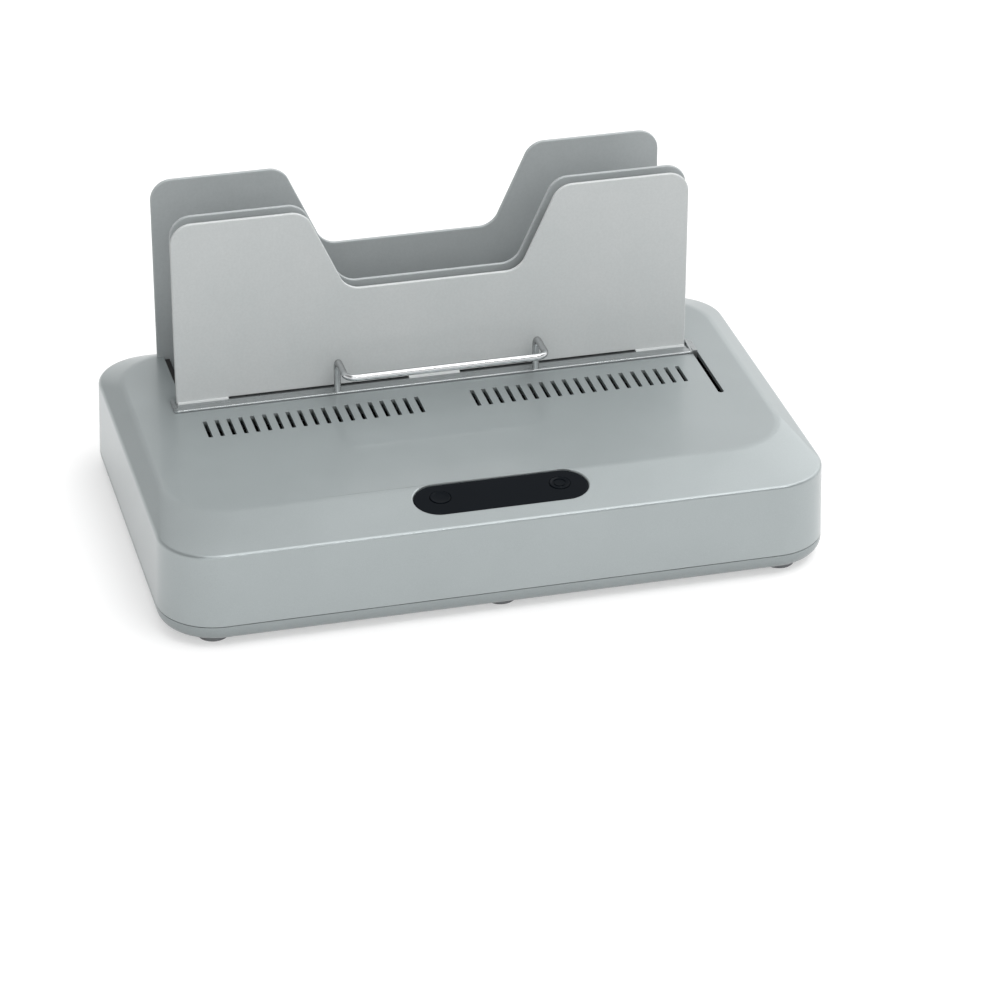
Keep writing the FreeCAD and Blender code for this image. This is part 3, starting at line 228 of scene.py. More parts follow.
def pick(piece: Piece, kind: Kind, test: Test) -> int:
    """Selects what passes a test on an open piece, and nothing else.

    Args:
        piece: the piece in edit mode.
        kind: points, edges or faces.
        test: takes the spot of each and says whether it is picked.

    Returns:
        How many were picked.
    """
    bpy.ops.mesh.select_mode(type=kind.value)
    bpy.ops.mesh.select_all(action="DESELECT")
    mesh = bmesh.from_edit_mesh(piece.data)
    mesh.normal_update()
    picked = []
    for item in {Kind.POINTS: mesh.verts, Kind.EDGES: mesh.edges, Kind.FACES: mesh.faces}[kind]:
        if kind is Kind.POINTS:
            spot = Spot(item.co / MM, item.normal)
        elif kind is Kind.EDGES:
            a, b = (point.co for point in item.verts)
            bend = math.degrees(item.calc_face_angle(math.pi))
            spot = Spot((a + b) / (2 * MM), (b - a).normalized(), bend)
        else:
            spot = Spot(item.calc_center_median() / MM, item.normal)
        if test(spot):
            picked.append(item)
    for item in picked:
        item.select_set(True)
    mesh.select_flush_mode()
    bmesh.update_edit_mesh(piece.data)
    return len(picked)


def pull(x: float, y: float, z: float) -> None:
    """Extrudes what is picked."""
    bpy.ops.mesh.extrude_region_move(TRANSFORM_OT_translate={"value": metres(x, y, z)})


def shift(x: float, y: float, z: float) -> None:
    """Moves what is picked."""
    bpy.ops.transform.translate(value=metres(x, y, z))


def draw_in(width: float, rise: float = 0.0) -> None:
    """Insets the picked face, and raises what is left of it."""
    bpy.ops.mesh.inset(thickness=width * MM, depth=rise * MM)


def swell(share: float, centre: Triple) -> None:
    """Scales what is picked about a centre."""
    bpy.ops.transform.resize(value=(share, share, share), center_override=metres(*centre))


def slice_at(place: Triple, across: Triple) -> None:
    """Cuts new edges into the open piece along a plane.

    Args:
        place: a point of the plane.
        across: the plane's normal.
    """
    bpy.ops.mesh.select_all(action="SELECT")
    bpy.ops.mesh.bisect(plane_co=metres(*place), plane_no=across)
    bpy.ops.mesh.select_all(action="DESELECT")


def round_edges(piece: Piece, radius: float, steps: int, test: Test) -> None:
    """Bevels the edges of a closed piece that pass a test.

    Args:
        piece: the piece, in object mode.
        radius: how far the bevel reaches from the edge.
        steps: segments of the bevel.
        test: says which edges.
    """
    with at_bench(piece):
        if pick(piece, Kind.EDGES, test):
            bpy.ops.mesh.bevel(
                offset=radius * MM, offset_type="OFFSET", segments=steps, profile=0.5,
                affect="EDGES", clamp_overlap=False, loop_slide=False,
            )
            bpy.ops.mesh.select_all(action="SELECT")
            bpy.ops.mesh.remove_doubles(threshold=BEVEL_MERGE * MM)


def apply(piece: Piece, kind: str, **settings: Any) -> None:
    """Adds a modifier with its settings and applies it.

    Args:
        piece: the piece it goes on.
        kind: Blender's name of the modifier.
        settings: its settings.
    """
    take(piece)
    modifier = piece.modifiers.new(kind.lower(), kind)
    for name, value in settings.items():
        setattr(modifier, name, value)
    bpy.ops.object.modifier_apply(modifier=modifier.name)


def fused(pieces: Sequence[Piece]) -> Piece:
    """Puts pieces into one mesh, without a cut between them.

    Args:
        pieces: the pieces.

    Returns:
        The first of them, which now holds all.
    """
    take(*pieces)
    if len(pieces) > 1:
        bpy.ops.object.join()
    return pieces[0]


def combine(piece: Piece, tools: Sequence[Piece], how: Trim, crossing: bool = False) -> None:
    """Cuts, welds or keeps what is common, and throws the tools away.

    Args:
        piece: the piece that stays.
        tools: closed pieces that shape it.
        how: the kind of trim.
        crossing: whether the tools run through each other.
    """
    tool = fused(tools)
    apply(piece, "BOOLEAN", object=tool, operation=how.value, solver="EXACT", use_self=crossing)
    bpy.data.objects.remove(tool)


def turn_outward(piece: Piece) -> None:
    """Merges doubled points and points every face outwards.

    Args:
        piece: the piece.
    """
    with at_bench(piece):
        bpy.ops.mesh.select_all(action="SELECT")
        bpy.ops.mesh.remove_doubles(threshold=CUT_MERGE * MM)
        bpy.ops.mesh.normals_make_consistent(inside=False)


def smooth(piece: Piece, angle: float = 32.0) -> None:
    """Shades smoothly across shallow edges, with large faces kept flat.

    Args:
        piece: the finished piece.
        angle: edges that bend more than this stay crisp.
    """
    take(piece)
    bpy.ops.object.shade_smooth_by_angle(angle=math.radians(angle))
    apply(piece, "WEIGHTED_NORMAL", keep_sharp=True, weight=60)


def rounded_block(name: str, low: Triple, high: Triple, radius: float, steps: int) -> Piece:
    """A block with its upright edges rounded.

    Args:
        name: name of the new piece.
        low: its lowest corner.
        high: its highest corner.
        radius: radius of the edges.
        steps: segments of each.

    Returns:
        The block.
    """
    piece = block(name, low, high)
    round_edges(piece, radius, steps, lambda spot: spot.along("z"))
    return piece


def copies(piece: Piece, ways: Sequence[Triple], names: Sequence[str] = ()) -> list[Piece]:
    """Copies a finished piece, each copy with its own mesh.

    Args:
        piece: the piece to copy.
        ways: how far each copy is moved.
        names: a name for each copy, if it isn't the piece's.

    Returns:
        The copies.
    """
    made = []
    for name, way in zip(names or [piece.name] * len(ways), ways):
        copy = piece.copy()
        copy.data = piece.data.copy()
        copy.name = copy.data.name = name
        bpy.context.scene.collection.objects.link(copy)
        take(copy)
        copy.location = metres(*way)
        bpy.ops.object.transform_apply(location=True, rotation=False, scale=False)
        made.append(copy)
    return made


# ---- Finishes ----

def linear(code: str) -> tuple[float, float, float, float]:
    """An sRGB hex colour as Blender's linear one.

    Args:
        code: six hex digits.

    Returns:
        Red, green, blue and alpha.
    """
    shares = [int(code[i:i + 2], 16) / 255 for i in (0, 2, 4)]
    parts = [s / 12.92 if s <= 0.04045 else ((s + 0.055) / 1.055) ** 2.4 for s in shares]
    return parts[0], parts[1], parts[2], 1.0


def bare_tree(owner: bpy.types.Material | bpy.types.World) -> Tree:
    """Clears the nodes of a material or a world.

    Args:
        owner: the material or the world.

    Returns:
        Its empty node tree.
    """
    owner.use_nodes = True
    owner.node_tree.nodes.clear()
    return owner.node_tree


def add(tree: Tree, kind: str, sockets: dict[str | int, Any], **settings: Any) -> bpy.types.Node:
    """Adds one node with its settings, values and links.

    Args:
        tree: the node tree.
        kind: Blender's name of the node.
        sockets: a value or another node's output for each input.
        settings: the node's own settings.

    Returns:
        The node.
    """
    node = tree.nodes.new(kind)
    for name, value in settings.items():
        setattr(node, name, value)
    for name, value in sockets.items():
        if isinstance(value, bpy.types.NodeSocket):
            tree.links.new(value, node.inputs[name])
        else:
            node.inputs[name].default_value = value
    return node


def ramp(tree: Tree, value: Socket, span: Pair, onto: tuple[Any, Any], **settings: Any) -> Socket:
    """Maps a span of a value onto another one.

    Args:
        tree: the node tree.
        value: the value.
        span: its two ends.
        onto: what they become, values or other nodes' outputs.
        settings: the node's own settings.

    Returns:
        The mapped value.
    """
    return add(tree, "ShaderNodeMapRange", {
        "Value": value, "From Min": span[0], "From Max": span[1],
        "To Min": onto[0], "To Max": onto[1],
    }, **settings).outputs["Result"]


def clouds(tree: Tree, place: Socket, size: float, detail: float, roughness: float) -> Socket:
    """Noise with spots of a size in mm."""
    return add(tree, "ShaderNodeTexNoise", {
        "Vector": place, "Scale": 1 / (size * MM), "Detail": detail, "Roughness": roughness,
    }).outputs["Fac"]


def scaled(tree: Tree, tone: Socket, share: Socket) -> Socket:
    """A tone made darker or lighter by a share."""
    sockets = {0: tone, "Scale": share}
    return add(tree, "ShaderNodeVectorMath", sockets, operation="SCALE").outputs[0]


@dataclass(frozen=True)
class Finish:
    """A surface: one shader with grain, mottling and relief of a real size.

    The tones are what the colour drifts between, rough is the roughness and its swing,
    grain the size and height of the fine relief, and mottle the size of the slow change of
    tone. A stretch draws the grain out along one axis, as brushing, rolling or drawing
    does. Fleck is how far the grain changes the tone, and rim how far painted shade
    darkens the tone where the surface turns away from the eye. This stands in for the
    dark reflections at a round piece's sides.
    """

    name: str
    tones: tuple[str, str]
    rough: Pair
    grain: Pair
    mottle: float
    metallic: float = 0.0
    coat: float = 0.0
    coat_rough: float = 0.1
    specular: float = 0.5
    ior: float = 1.5
    stretch: Triple = (1.0, 1.0, 1.0)
    fleck: float = 0.0
    rim: float = 0.0
    sheen: float = 0.0
    transmission: float = 0.0

    def make(self) -> bpy.types.Material:
        """Builds the material.

        Returns:
            The material, with its nodes.
        """
        material = bpy.data.materials.new(self.name)
        tree = bare_tree(material)
        place = add(tree, "ShaderNodeTexCoord", {}).outputs["Object"]
        drawn = add(tree, "ShaderNodeMapping", {"Vector": place, "Scale": self.stretch}).outputs[0]
        size, height = self.grain
        grain = clouds(tree, drawn, size, detail=2.0, roughness=0.55)
        mottle = clouds(tree, drawn, self.mottle, detail=3.0, roughness=0.6)
        middle = (0.3, 0.7)
        tone = add(tree, "ShaderNodeMix", {
            "Factor": ramp(tree, mottle, middle, (0.0, 1.0)),
            6: linear(self.tones[0]), 7: linear(self.tones[1]),
        }, data_type="RGBA").outputs[2]
        if self.fleck:
            swing = (1.0 - self.fleck, 1.0 + self.fleck)
            tone = scaled(tree, tone, ramp(tree, grain, (0.35, 0.65), swing))
        # Painted shade: the tone darkens where the surface turns away from the eye, standing in for
        # dark reflections at the sides
        if self.rim:
            facing = add(tree, "ShaderNodeLayerWeight", {"Blend": 0.5}).outputs["Facing"]
            tone = scaled(tree, tone, ramp(tree, facing, (0.3, 0.8), (1.0, 1.0 - self.rim)))
        rough, swing = self.rough
        relief = {"Height": grain, "Distance": height * MM, "Strength": 1.0}
        shader = add(tree, "ShaderNodeBsdfPrincipled", {
            "Base Color": tone,
            "Roughness": ramp(tree, mottle, middle, (rough - swing, rough + swing)),
            "Normal": add(tree, "ShaderNodeBump", relief).outputs["Normal"],
            "Metallic": self.metallic, "IOR": self.ior, "Specular IOR Level": self.specular,
            "Coat Weight": self.coat, "Coat Roughness": self.coat_rough,
            "Sheen Weight": self.sheen, "Transmission Weight": self.transmission,
        })
        add(tree, "ShaderNodeOutputMaterial", {"Surface": shader.outputs["BSDF"]})
        return material


# Metallic lacquer on moulded ABS. Fine aluminium flake under a clear coat: mid grey where
# it faces the eye, pale at a glancing view, with a soft mirror of what stands on it. The
# flake is far below a pixel, so its grain is drawn at 0.5 mm.
SILVER_LACQUER = Finish(
    "silver_lacquer_on_abs", ("9da4a5", "a1a8a9"), rough=(0.34, 0.02), grain=(0.5, 0.0006),
    mottle=60.0, metallic=0.55, coat=0.35, coat_rough=0.05, fleck=0.03,
)
# The same lacquer on the tray, less glossy than on the cover, and a little darker as painted shade
# for the downward-facing tray under the cover.
TRAY_LACQUER_WITH_PAINTED_SHADE = Finish(
    "silver_lacquer_on_tray_with_painted_shade", ("8f9697", "939a9b"), rough=(0.4, 0.03), grain=(0.6, 0.0008),
    mottle=50.0, metallic=0.45, coat=0.25, coat_rough=0.15, fleck=0.03,
)
# Silver powder paint on sheet steel: flatter and paler than the lacquer, with the faint
# orange peel of a baked coat.
POWDER_PAINT = Finish(
    "silver_powder_paint_on_steel", ("bec2c2", "c2c5c5"), rough=(0.45, 0.03),
    grain=(1.4, 0.002), mottle=45.0, metallic=0.1, specular=0.2, fleck=0.02,
)
# The same paint darkened as painted shade, on the two fixed plates that stand behind the front
# plate.
FIXED_PLATE_PAINT_WITH_PAINTED_SHADE = replace(
    POWDER_PAINT, name="silver_powder_paint_with_painted_shade_on_fixed_plates", tones=("a5aaab", "a9aeaf"),
)
# Bare satin sheet steel, faintly streaked along the sheet.
SATIN_SHEET = Finish(
    "satin_silver_sheet_steel", ("aaaeaf", "b2b6b7"), rough=(0.28, 0.04), grain=(0.8, 0.001),
    mottle=14.0, metallic=0.85, stretch=(0.15, 1.0, 1.0),
)
# Polished stainless wire, drawn: fine lines along the wire, nearly a mirror. Painted shade darkens
# its sides and stands in for dark reflections there.
DRAWN_WIRE = Finish(
    "polished_stainless_wire", ("d6d8d9", "dddfe0"), rough=(0.17, 0.02), grain=(0.5, 0.0006),
    mottle=6.0, metallic=0.85, stretch=(0.08, 1.0, 1.0), rim=0.75,
)
# Ground and hardened rod, with grinding lines round it.
GROUND_ROD = Finish(
    "ground_steel_rod", ("b9bcbe", "c7cacb"), rough=(0.22, 0.04), grain=(0.5, 0.001),
    mottle=10.0, metallic=1.0, stretch=(0.3, 1.0, 0.3),
)
# Zinc-plated screws, clear passivated: pale with a dull bloom.
PLATED_SCREW = Finish(
    "zinc_plated_screw_steel", ("b4b7b4", "c6c8c2"), rough=(0.36, 0.08), grain=(0.4, 0.002),
    mottle=3.0, metallic=1.0,
)
# Machined brass, slightly dulled.
TURNED_BRASS = Finish(
    "turned_brass", ("b9985a", "c9aa6c"), rough=(0.28, 0.06), grain=(0.4, 0.001),
    mottle=4.0, metallic=1.0,
)
# Extruded aluminium, drawn lines along the well.
EXTRUDED_ALUMINIUM = Finish(
    "extruded_aluminium", ("b8bbbd", "c8cbcc"), rough=(0.38, 0.06), grain=(0.7, 0.0015),
    mottle=16.0, metallic=1.0, stretch=(0.05, 1.0, 1.0),
)
# Glass-filled phenolic, black-brown, with the matte skin of a pressed moulding.
PHENOLIC = Finish(
    "pressed_phenolic", ("171514", "1d1a19"), rough=(0.6, 0.06), grain=(0.5, 0.01),
    mottle=12.0, fleck=0.12,
)
# Silicone rubber heater mat on glass cloth: brick red, matte, weave drawn at 1 mm.
SILICONE_MAT = Finish(
    "silicone_rubber_on_glass_cloth", ("8c3a26", "9a442e"), rough=(0.7, 0.05),
    grain=(1.0, 0.03), mottle=20.0,
)
# Glazed steatite body of a thermal fuse.
STEATITE = Finish(
    "glazed_steatite", ("dcd8cc", "e6e2d6"), rough=(0.3, 0.05), grain=(0.5, 0.004), mottle=4.0,
)
# Black acrylic lens, moulded glossy: near black with a faint, sharp reflection.
BLACK_ACRYLIC = Finish(
    "glossy_black_acrylic", ("03080e", "050a10"), rough=(0.05, 0.015), grain=(3.0, 0.001),
    mottle=25.0, ior=1.49, specular=0.07,
)
# Black ABS with the fine spark grain of a connector or switch.
BLACK_ABS = Finish(
    "spark_grained_black_abs", ("1b1c1e", "222325"), rough=(0.5, 0.05), grain=(0.4, 0.008),
    mottle=8.0, fleck=0.08,
)
# Grey rubber foot, matte, a little dusty.
FOOT_RUBBER = Finish(
    "grey_moulded_rubber", ("7b7d7f", "838587"), rough=(0.72, 0.06), grain=(0.5, 0.01),
    mottle=6.0, fleck=0.1, sheen=0.1,
)
# Green solder mask on glass-epoxy board, with the cloth just showing at 0.5 mm.
SOLDER_MASK = Finish(
    "green_glass_epoxy_board", ("1f5a36", "276b41"), rough=(0.32, 0.04), grain=(0.5, 0.006),
    mottle=10.0, coat=0.3,
)
# Clear epoxy of an indicator lamp.
CLEAR_EPOXY = Finish(
    "clear_lamp_epoxy", ("dfe8dc", "eaf2e6"), rough=(0.12, 0.02), grain=(1.0, 0.001),
    mottle=3.0, ior=1.52, transmission=0.7,
)
# Green polyamide terminal block.
GREEN_POLYAMIDE = Finish(
    "green_polyamide", ("2f7d52", "388a5c"), rough=(0.48, 0.05), grain=(0.4, 0.006), mottle=6.0,
)


class Dresser:
    """Keeps one material for each slot of the record and puts it on pieces and nodes."""

    # The finish of each slot, and the nodes in it that keep their solid
    slots: dict[str, tuple[Finish, tuple[str, ...]]] = {
        "cover_plastic": (SILVER_LACQUER, ()),
        "tray_plastic": (TRAY_LACQUER_WITH_PAINTED_SHADE, ()),
        "foot_rubber": (FOOT_RUBBER, ()),
        "plate_steel": (POWDER_PAINT, ()),
        "handle_wire": (DRAWN_WIRE, ()),
        "lens_gloss": (BLACK_ACRYLIC, ()),
        "carriage_steel": (
            SATIN_SHEET, ("front_rod_bracket", "rear_rod_bracket", "heat_shield", "fuse_strap"),
        ),
        "rod_steel": (GROUND_ROD, ("guide_rod",)),
        "screw_steel": (PLATED_SCREW, (
            "cover_screws", "bracket_screws", "frame_screws", "plate_screws", "clamp_screws",
            "heater_end_screws", "board_screws", "power_board_screws", "element_clamps",
            "thermostat",
        )),
        "bushing_brass": (TURNED_BRASS, ("slide_bushing", "inlet_pins")),
        "heater_aluminium": (EXTRUDED_ALUMINIUM, ("heater_plate",)),
        "frame_plastic": (PHENOLIC, ("heater_frame", "slide_block")),
        "element_rubber": (SILICONE_MAT, ("heating_element",)),
        "fuse_ceramic": (STEATITE, ("thermal_fuse",)),
        "board_laminate": (SOLDER_MASK, ("panel_board", "power_board")),
        "lamp_clear": (CLEAR_EPOXY, ("status_lamps",)),
        "black_plastic": (BLACK_ABS, (
            "buzzer", "start_plunger", "ready_plunger", "start_switch", "ready_switch", "relay",
            "transformer", "power_inlet", "power_switch", "power_rocker",
        )),
        "terminal_plastic": (GREEN_POLYAMIDE, ("terminal_block",)),
    }

    def __init__(self) -> None:
        """Builds the materials."""
        self.materials = {slot: finish.make() for slot, (finish, _) in self.slots.items()}
        # A darker copy of the plate paint, painted shade for the two fixed plates
        self.painted_shade_plate_paint = FIXED_PLATE_PAINT_WITH_PAINTED_SHADE.make()

    def dress(
        self, piece: Piece, slot: str, body: str, node: str,
        shade: bpy.types.Material | None = None,
    ) -> None:
        """Gives a new piece its finish and its body, and hides the CAD node it stands for.

        Args:
            piece: the new piece.
            slot: the record's material slot.
            body: the body it moves with.
            node: the CAD node it replaces.
            shade: a darker copy of the slot's finish that carries painted shade, if it has one.
        """
        piece.data.materials.clear()
        piece.data.materials.append(shade or self.materials[slot])
        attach(piece, body)
        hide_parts(node)
        spans = []
        for axis in range(3):
            levels = [point.co[axis] / MM for point in piece.data.vertices]
            spans.append(f"{min(levels):.1f} to {max(levels):.1f}")
        faces = len(piece.data.polygons)
        log.info("%s: %d faces, x, y and z %s mm", piece.name, faces, ", ".join(spans))

    def dress_nodes(self) -> None:
        """Gives every CAD node that stays the finish of its slot."""
        for slot, (_, names) in self.slots.items():
            for name in names:
                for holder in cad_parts[name].material_slots:
                    holder.material = self.materials[slot]
                log.info("%s: kept from the frame, in %s", name, self.materials[slot].name)


# ---- Sub-assemblies ----

@dataclass(frozen=True)
class PanelPlane:
    """The sloped front band, on which the panel lies."""

    origin: Triple = (3.5, -96.7, 60.927)
    tilt: float = 6.953
    slack: float = 0.05
    end_gap: float = 0.02
    end_steps: int = 20

    @property
    def out(self) -> Vector:
        """The way straight out of the band."""
        angle = math.radians(self.tilt)
        return Vector((0, -math.sin(angle), math.cos(angle)))

    def point(self, x: float, y: float, z: float) -> Triple:
        """A place on the band as one of the machine.

        Args:
            x: across the band, from the panel's middle.
            y: up the band.
            z: out of the band.

        Returns:
            The place.
        """
        sin, cos = math.sin(math.radians(self.tilt)), math.cos(math.radians(self.tilt))
        ox, oy, oz = self.origin
        return ox + x, oy + y * cos - z * sin, oz + y * sin + z * cos

    def corner_at(self, spot: Spot, height: float) -> bool:
        """Whether an edge is a corner at a height out of the band."""
        rise = (spot.place - Vector(self.origin)).dot(self.out)
        return spot.sharp and near(rise, height, self.slack)

    def bar(self, name: str, half_x: float, half_y: float, low: float, high: float) -> Piece:
        """A bar on the band with fully rounded ends.

        Args:
            name: name of the piece.
            half_x: half its length.
            half_y: half its width, and the radius of its ends.
            low: its lower face, out of the band.
            high: its upper face.

        Returns:
            The bar.
        """
        centre = self.point(0, 0, (low + high) / 2)
        size = (2 * half_x, 2 * half_y, high - low)
        bar = start(name, Stock.BLOCK, centre, size, (self.tilt, 0, 0))
        round_edges(bar, half_y - self.end_gap, self.end_steps, lambda spot: (
            abs(spot.way.dot(self.out)) > STRAIGHT
        ))
        return bar

    def pin(
        self, name: str, radius: float, place: Pair, low: float, high: float, points: int = 64,
    ) -> Piece:
        """A drum that stands on the band.

        Args:
            name: name of the piece.
            radius: its radius.
            place: its middle, across and up the band.
            low: its lower face, out of the band.
            high: its upper face.
            points: points round it.

        Returns:
            The drum.
        """
        size = (2 * radius, 2 * radius, high - low)
        centre = self.point(*place, (low + high) / 2)
        return start(name, Stock.DRUM, centre, size, (self.tilt, 0, 0), points)


@dataclass
class Moulding:
    """The outline that cover and tray share, and what holds them together."""

    half_width: float = 192.5
    half_depth: float = 126.0
    corner: float = 33.2
    corner_steps: int = 18
    wall: float = 2.5
    screws: tuple[Pair, ...] = (
        (-180, -97), (-180, 97), (180, -97), (180, 97), (-100, -112), (100, -112),
    )

    def outline(self, name: str, inset: float, level: float) -> Piece:
        """A level sheet with the body's outline.

        Args:
            name: name of the piece.
            inset: how far it is drawn in.
            level: its height.

        Returns:
            The sheet.
        """
        size = (2 * (self.half_width - inset), 2 * (self.half_depth - inset), 1.0)
        sheet = start(name, Stock.SHEET, (0, 0, level), size)
        with at_bench(sheet):
            pick(sheet, Kind.POINTS, every)
            bpy.ops.mesh.bevel(
                offset=(self.corner - inset) * MM, segments=self.corner_steps, profile=0.5,
                affect="VERTICES",
            )
        return sheet


@dataclass
class TopCover(Moulding):
    """The moulded cover: drafted wall, crisp crease, sloped band, flat deck.

    Bars on the panel's band are given as half length, half width, low and high. Cutters
    and blocks run past the faces that they cut or join.
    """

    parting: float = 14.0
    crease: float = 57.5
    deck: float = 62.5
    draft: float = 1.2
    crease_round: float = 1.8
    deck_half_width: float = 179.8
    deck_front: float = -83.8
    deck_rear: float = 114.8
    deck_corner: float = 38.0
    deck_round: float = 2.4
    rim_round: float = 0.4
    recess_round: float = 0.9
    form_inset: float = 1.0
    overrun: float = 1.0
    well: Corners = ((-149.4, 57.4, 30), (149.4, 112.2, 80))
    skirt: float = 2.2
    skirt_depth: float = 15.0
    slot: Corners = ((155.9, -15.0, 58), (159.1, 52.0, 66))
    slot_round: float = 1.59
    vent_count: int = 19
    vent_pitch: float = 6.94
    vent_first: float = 16.7
    vent_width: float = 2.25
    vent_span: Corners = ((0, 3.6, 56), (0, 23.7, 66))
    vent_round: float = 0.5
    boss_radius: float = 4.5
    boss_low: float = 20.0
    boss_lap: float = 2.0
    board_boss: tuple[float, float, float] = (3.2, -14.0, 0.0)
    board_boss_x: Pair = (-55.0, 55.0)
    board_boss_y: Pair = (-10.0, 10.0)
    bracket_x: Pair = (152.5, 162.5)
    bracket_low: float = 54.0
    bracket_spans: tuple[Pair, Pair] = ((-34.7, -20.7), (56.5, 70.5))
    service: Corners = ((189.5, 35.5, 20.5), (197.5, 93.0, 47.5))
    service_depth: float = 4.0
    inlet_hole: Corners = ((180, 62.5, 24.1), (192, 89.5, 43.9))
    switch_hole: Corners = ((180, 38.3, 27.3), (192, 57.7, 40.7))
    panel: PanelPlane = PanelPlane()
    panel_seat: tuple[float, ...] = (59.0, 23.2, -5.5, 3.0)
    recess: tuple[float, ...] = (50.2, 14.4, -3.3, 6.0)
    window: tuple[float, ...] = (47.2, 11.4, -12.0, -2.0)
    deck_rim_half: float = 160.0
    wall_rim_x: float = 190.6

    def skin(self, name: str, inset: float) -> Piece:
        """The cover's outer form as an open skin.

        Args:
            name: name of the piece.
            inset: how far it is drawn in and lowered.

        Returns:
            The skin, open below.
        """
        skin = self.outline(name, inset, self.parting)
        top = self.deck - inset
        with at_bench(skin):
            pick(skin, Kind.FACES, every)
            draw_in(self.draft, self.crease - inset - self.parting)
            pull(0, 0, self.deck - self.crease)
        old_x, old_y = self.half_width - self.corner, self.half_depth - self.corner
        new_x = self.deck_half_width - self.deck_corner
        share = self.deck_corner / (self.corner - self.draft - inset)
        ends = ((self.deck_front + self.deck_corner, -1), (self.deck_rear - self.deck_corner, 1))
        for side in (-1, 1):
            for new_y, end in ends:
                with at_bench(skin):
                    pick(skin, Kind.POINTS, lambda spot: (
                        spot.at(z=top) and spot.place.x * side > 0 and spot.place.y * end > 0
                    ))
                    shift(side * (new_x - old_x), new_y - end * old_y, 0)
                    swell(share, (side * new_x, new_y, top))
        return skin

    def shell(self) -> Piece:
        """Rounds the skin's crease and deck edge and gives it the wall's thickness.

        Returns:
            The shell.
        """
        shell = self.skin("top_cover_moulding", 0.0)
        for level, radius in ((self.crease, self.crease_round), (self.deck, self.deck_round)):
            round_edges(shell, radius, 5, lambda spot: (
                spot.at(z=level) and abs(spot.way.z) < LEVEL
            ))
        apply(shell, "SOLIDIFY", thickness=self.wall * MM, offset=-1.0, use_even_offset=True)
        return shell

    def inner_features(self) -> list[Piece]:
        """Skirt, service block, panel seat, bosses and bracket blocks under the skin.

        Returns:
            The pieces.
        """
        top = self.deck + self.overrun
        (left, front, _), (right, rear, _) = self.well
        (face, near_y, low), (_, far_y, high) = self.service
        pieces = [
            block("skirt", (left - self.skirt, front - self.skirt, self.deck - self.skirt_depth),
                  (right + self.skirt, rear + self.skirt, top)),
            block("service_block", (face - self.service_depth, near_y - self.wall, low - self.wall),
                  (self.half_width, far_y + self.wall, high + self.wall)),
            self.panel.bar("panel_seat", *self.panel_seat),
        ]
        rise = self.deck + self.boss_lap - self.boss_low
        for x, y in self.screws:
            pieces.append(drum("boss", self.boss_radius, (x, y, self.boss_low), rise, 48))
        radius, *span = self.board_boss
        for x in self.board_boss_x:
            for y in self.board_boss_y:
                pieces.append(self.panel.pin("board_boss", radius, (x, y), *span, 32))
        left, right = self.bracket_x
        for front, rear in self.bracket_spans:
            pieces.append(block(
                "bracket_block", (left, front, self.bracket_low), (right, rear, top),
            ))
        return pieces

    def cutters(self) -> list[Piece]:
        """Well, slot, vents, panel recess and service opening.

        Returns:
            The cutters.
        """
        first_x = self.vent_first - self.vent_width / 2
        (_, *low), (_, *high) = self.vent_span
        vent = rounded_block(
            "vent", (first_x, *low), (first_x + self.vent_width, *high), self.vent_round, 3,
        )
        steps = [index * self.vent_pitch for index in range(self.vent_count)]
        ways = [(step, 0.0, 0.0) for step in steps[1:]]
        ways += [(-2 * self.vent_first - step, 0.0, 0.0) for step in steps]
        return [
            block("well", *self.well), rounded_block("slot", *self.slot, self.slot_round, 6),
            vent, *copies(vent, ways), self.panel.bar("recess", *self.recess),
            block("service", *self.service),
        ]

    def build(self, dresser: Dresser) -> None:
        """Makes the cover and dresses it.

        Args:
            dresser: puts the finish on it.
        """
        cover = self.shell()
        inner = fused(self.inner_features())
        form = self.skin("form", self.form_inset)
        with at_bench(form):
            pick(form, Kind.EDGES, lambda spot: spot.at(z=self.parting) and spot.bend > OPEN)
            bpy.ops.mesh.edge_face_add()
        turn_outward(form)
        combine(inner, [form], Trim.KEEP_COMMON, crossing=True)
        combine(cover, [inner], Trim.WELD)
        combine(cover, self.cutters(), Trim.CUT)
        combine(cover, [
            self.panel.bar("window", *self.window), block("inlet_hole", *self.inlet_hole),
            block("switch_hole", *self.switch_hole),
        ], Trim.CUT)
        turn_outward(cover)
        round_edges(cover, self.rim_round, 2, self.is_rim)
        round_edges(cover, self.recess_round, 4, self.on_recess)
        smooth(cover)
        dresser.dress(cover, "cover_plastic", "base", "top_cover")

    def on_recess(self, spot: Spot) -> bool:
        """Whether an edge is the upper rim of the panel's recess in the band."""
        across = abs(spot.place.x - self.panel.origin[0])
        return self.panel.corner_at(spot, 0.0) and across < self.recess[0] + self.overrun

    def is_rim(self, spot: Spot) -> bool:
        """Whether an edge is the rim of an opening in the deck or the right wall.

        Args:
            spot: the edge.

        Returns:
            Whether it is.
        """
        place = spot.place
        on_deck = spot.at(z=self.deck) and abs(spot.way.z) < LEVEL
        (_, front, low), (_, rear, high) = self.service
        on_wall = (
            place.x > self.wall_rim_x and front - self.overrun < place.y < rear + self.overrun
            and low - self.overrun < place.z < high + self.overrun
        )
        return spot.sharp and (on_wall or (on_deck and abs(place.x) < self.deck_rim_half))


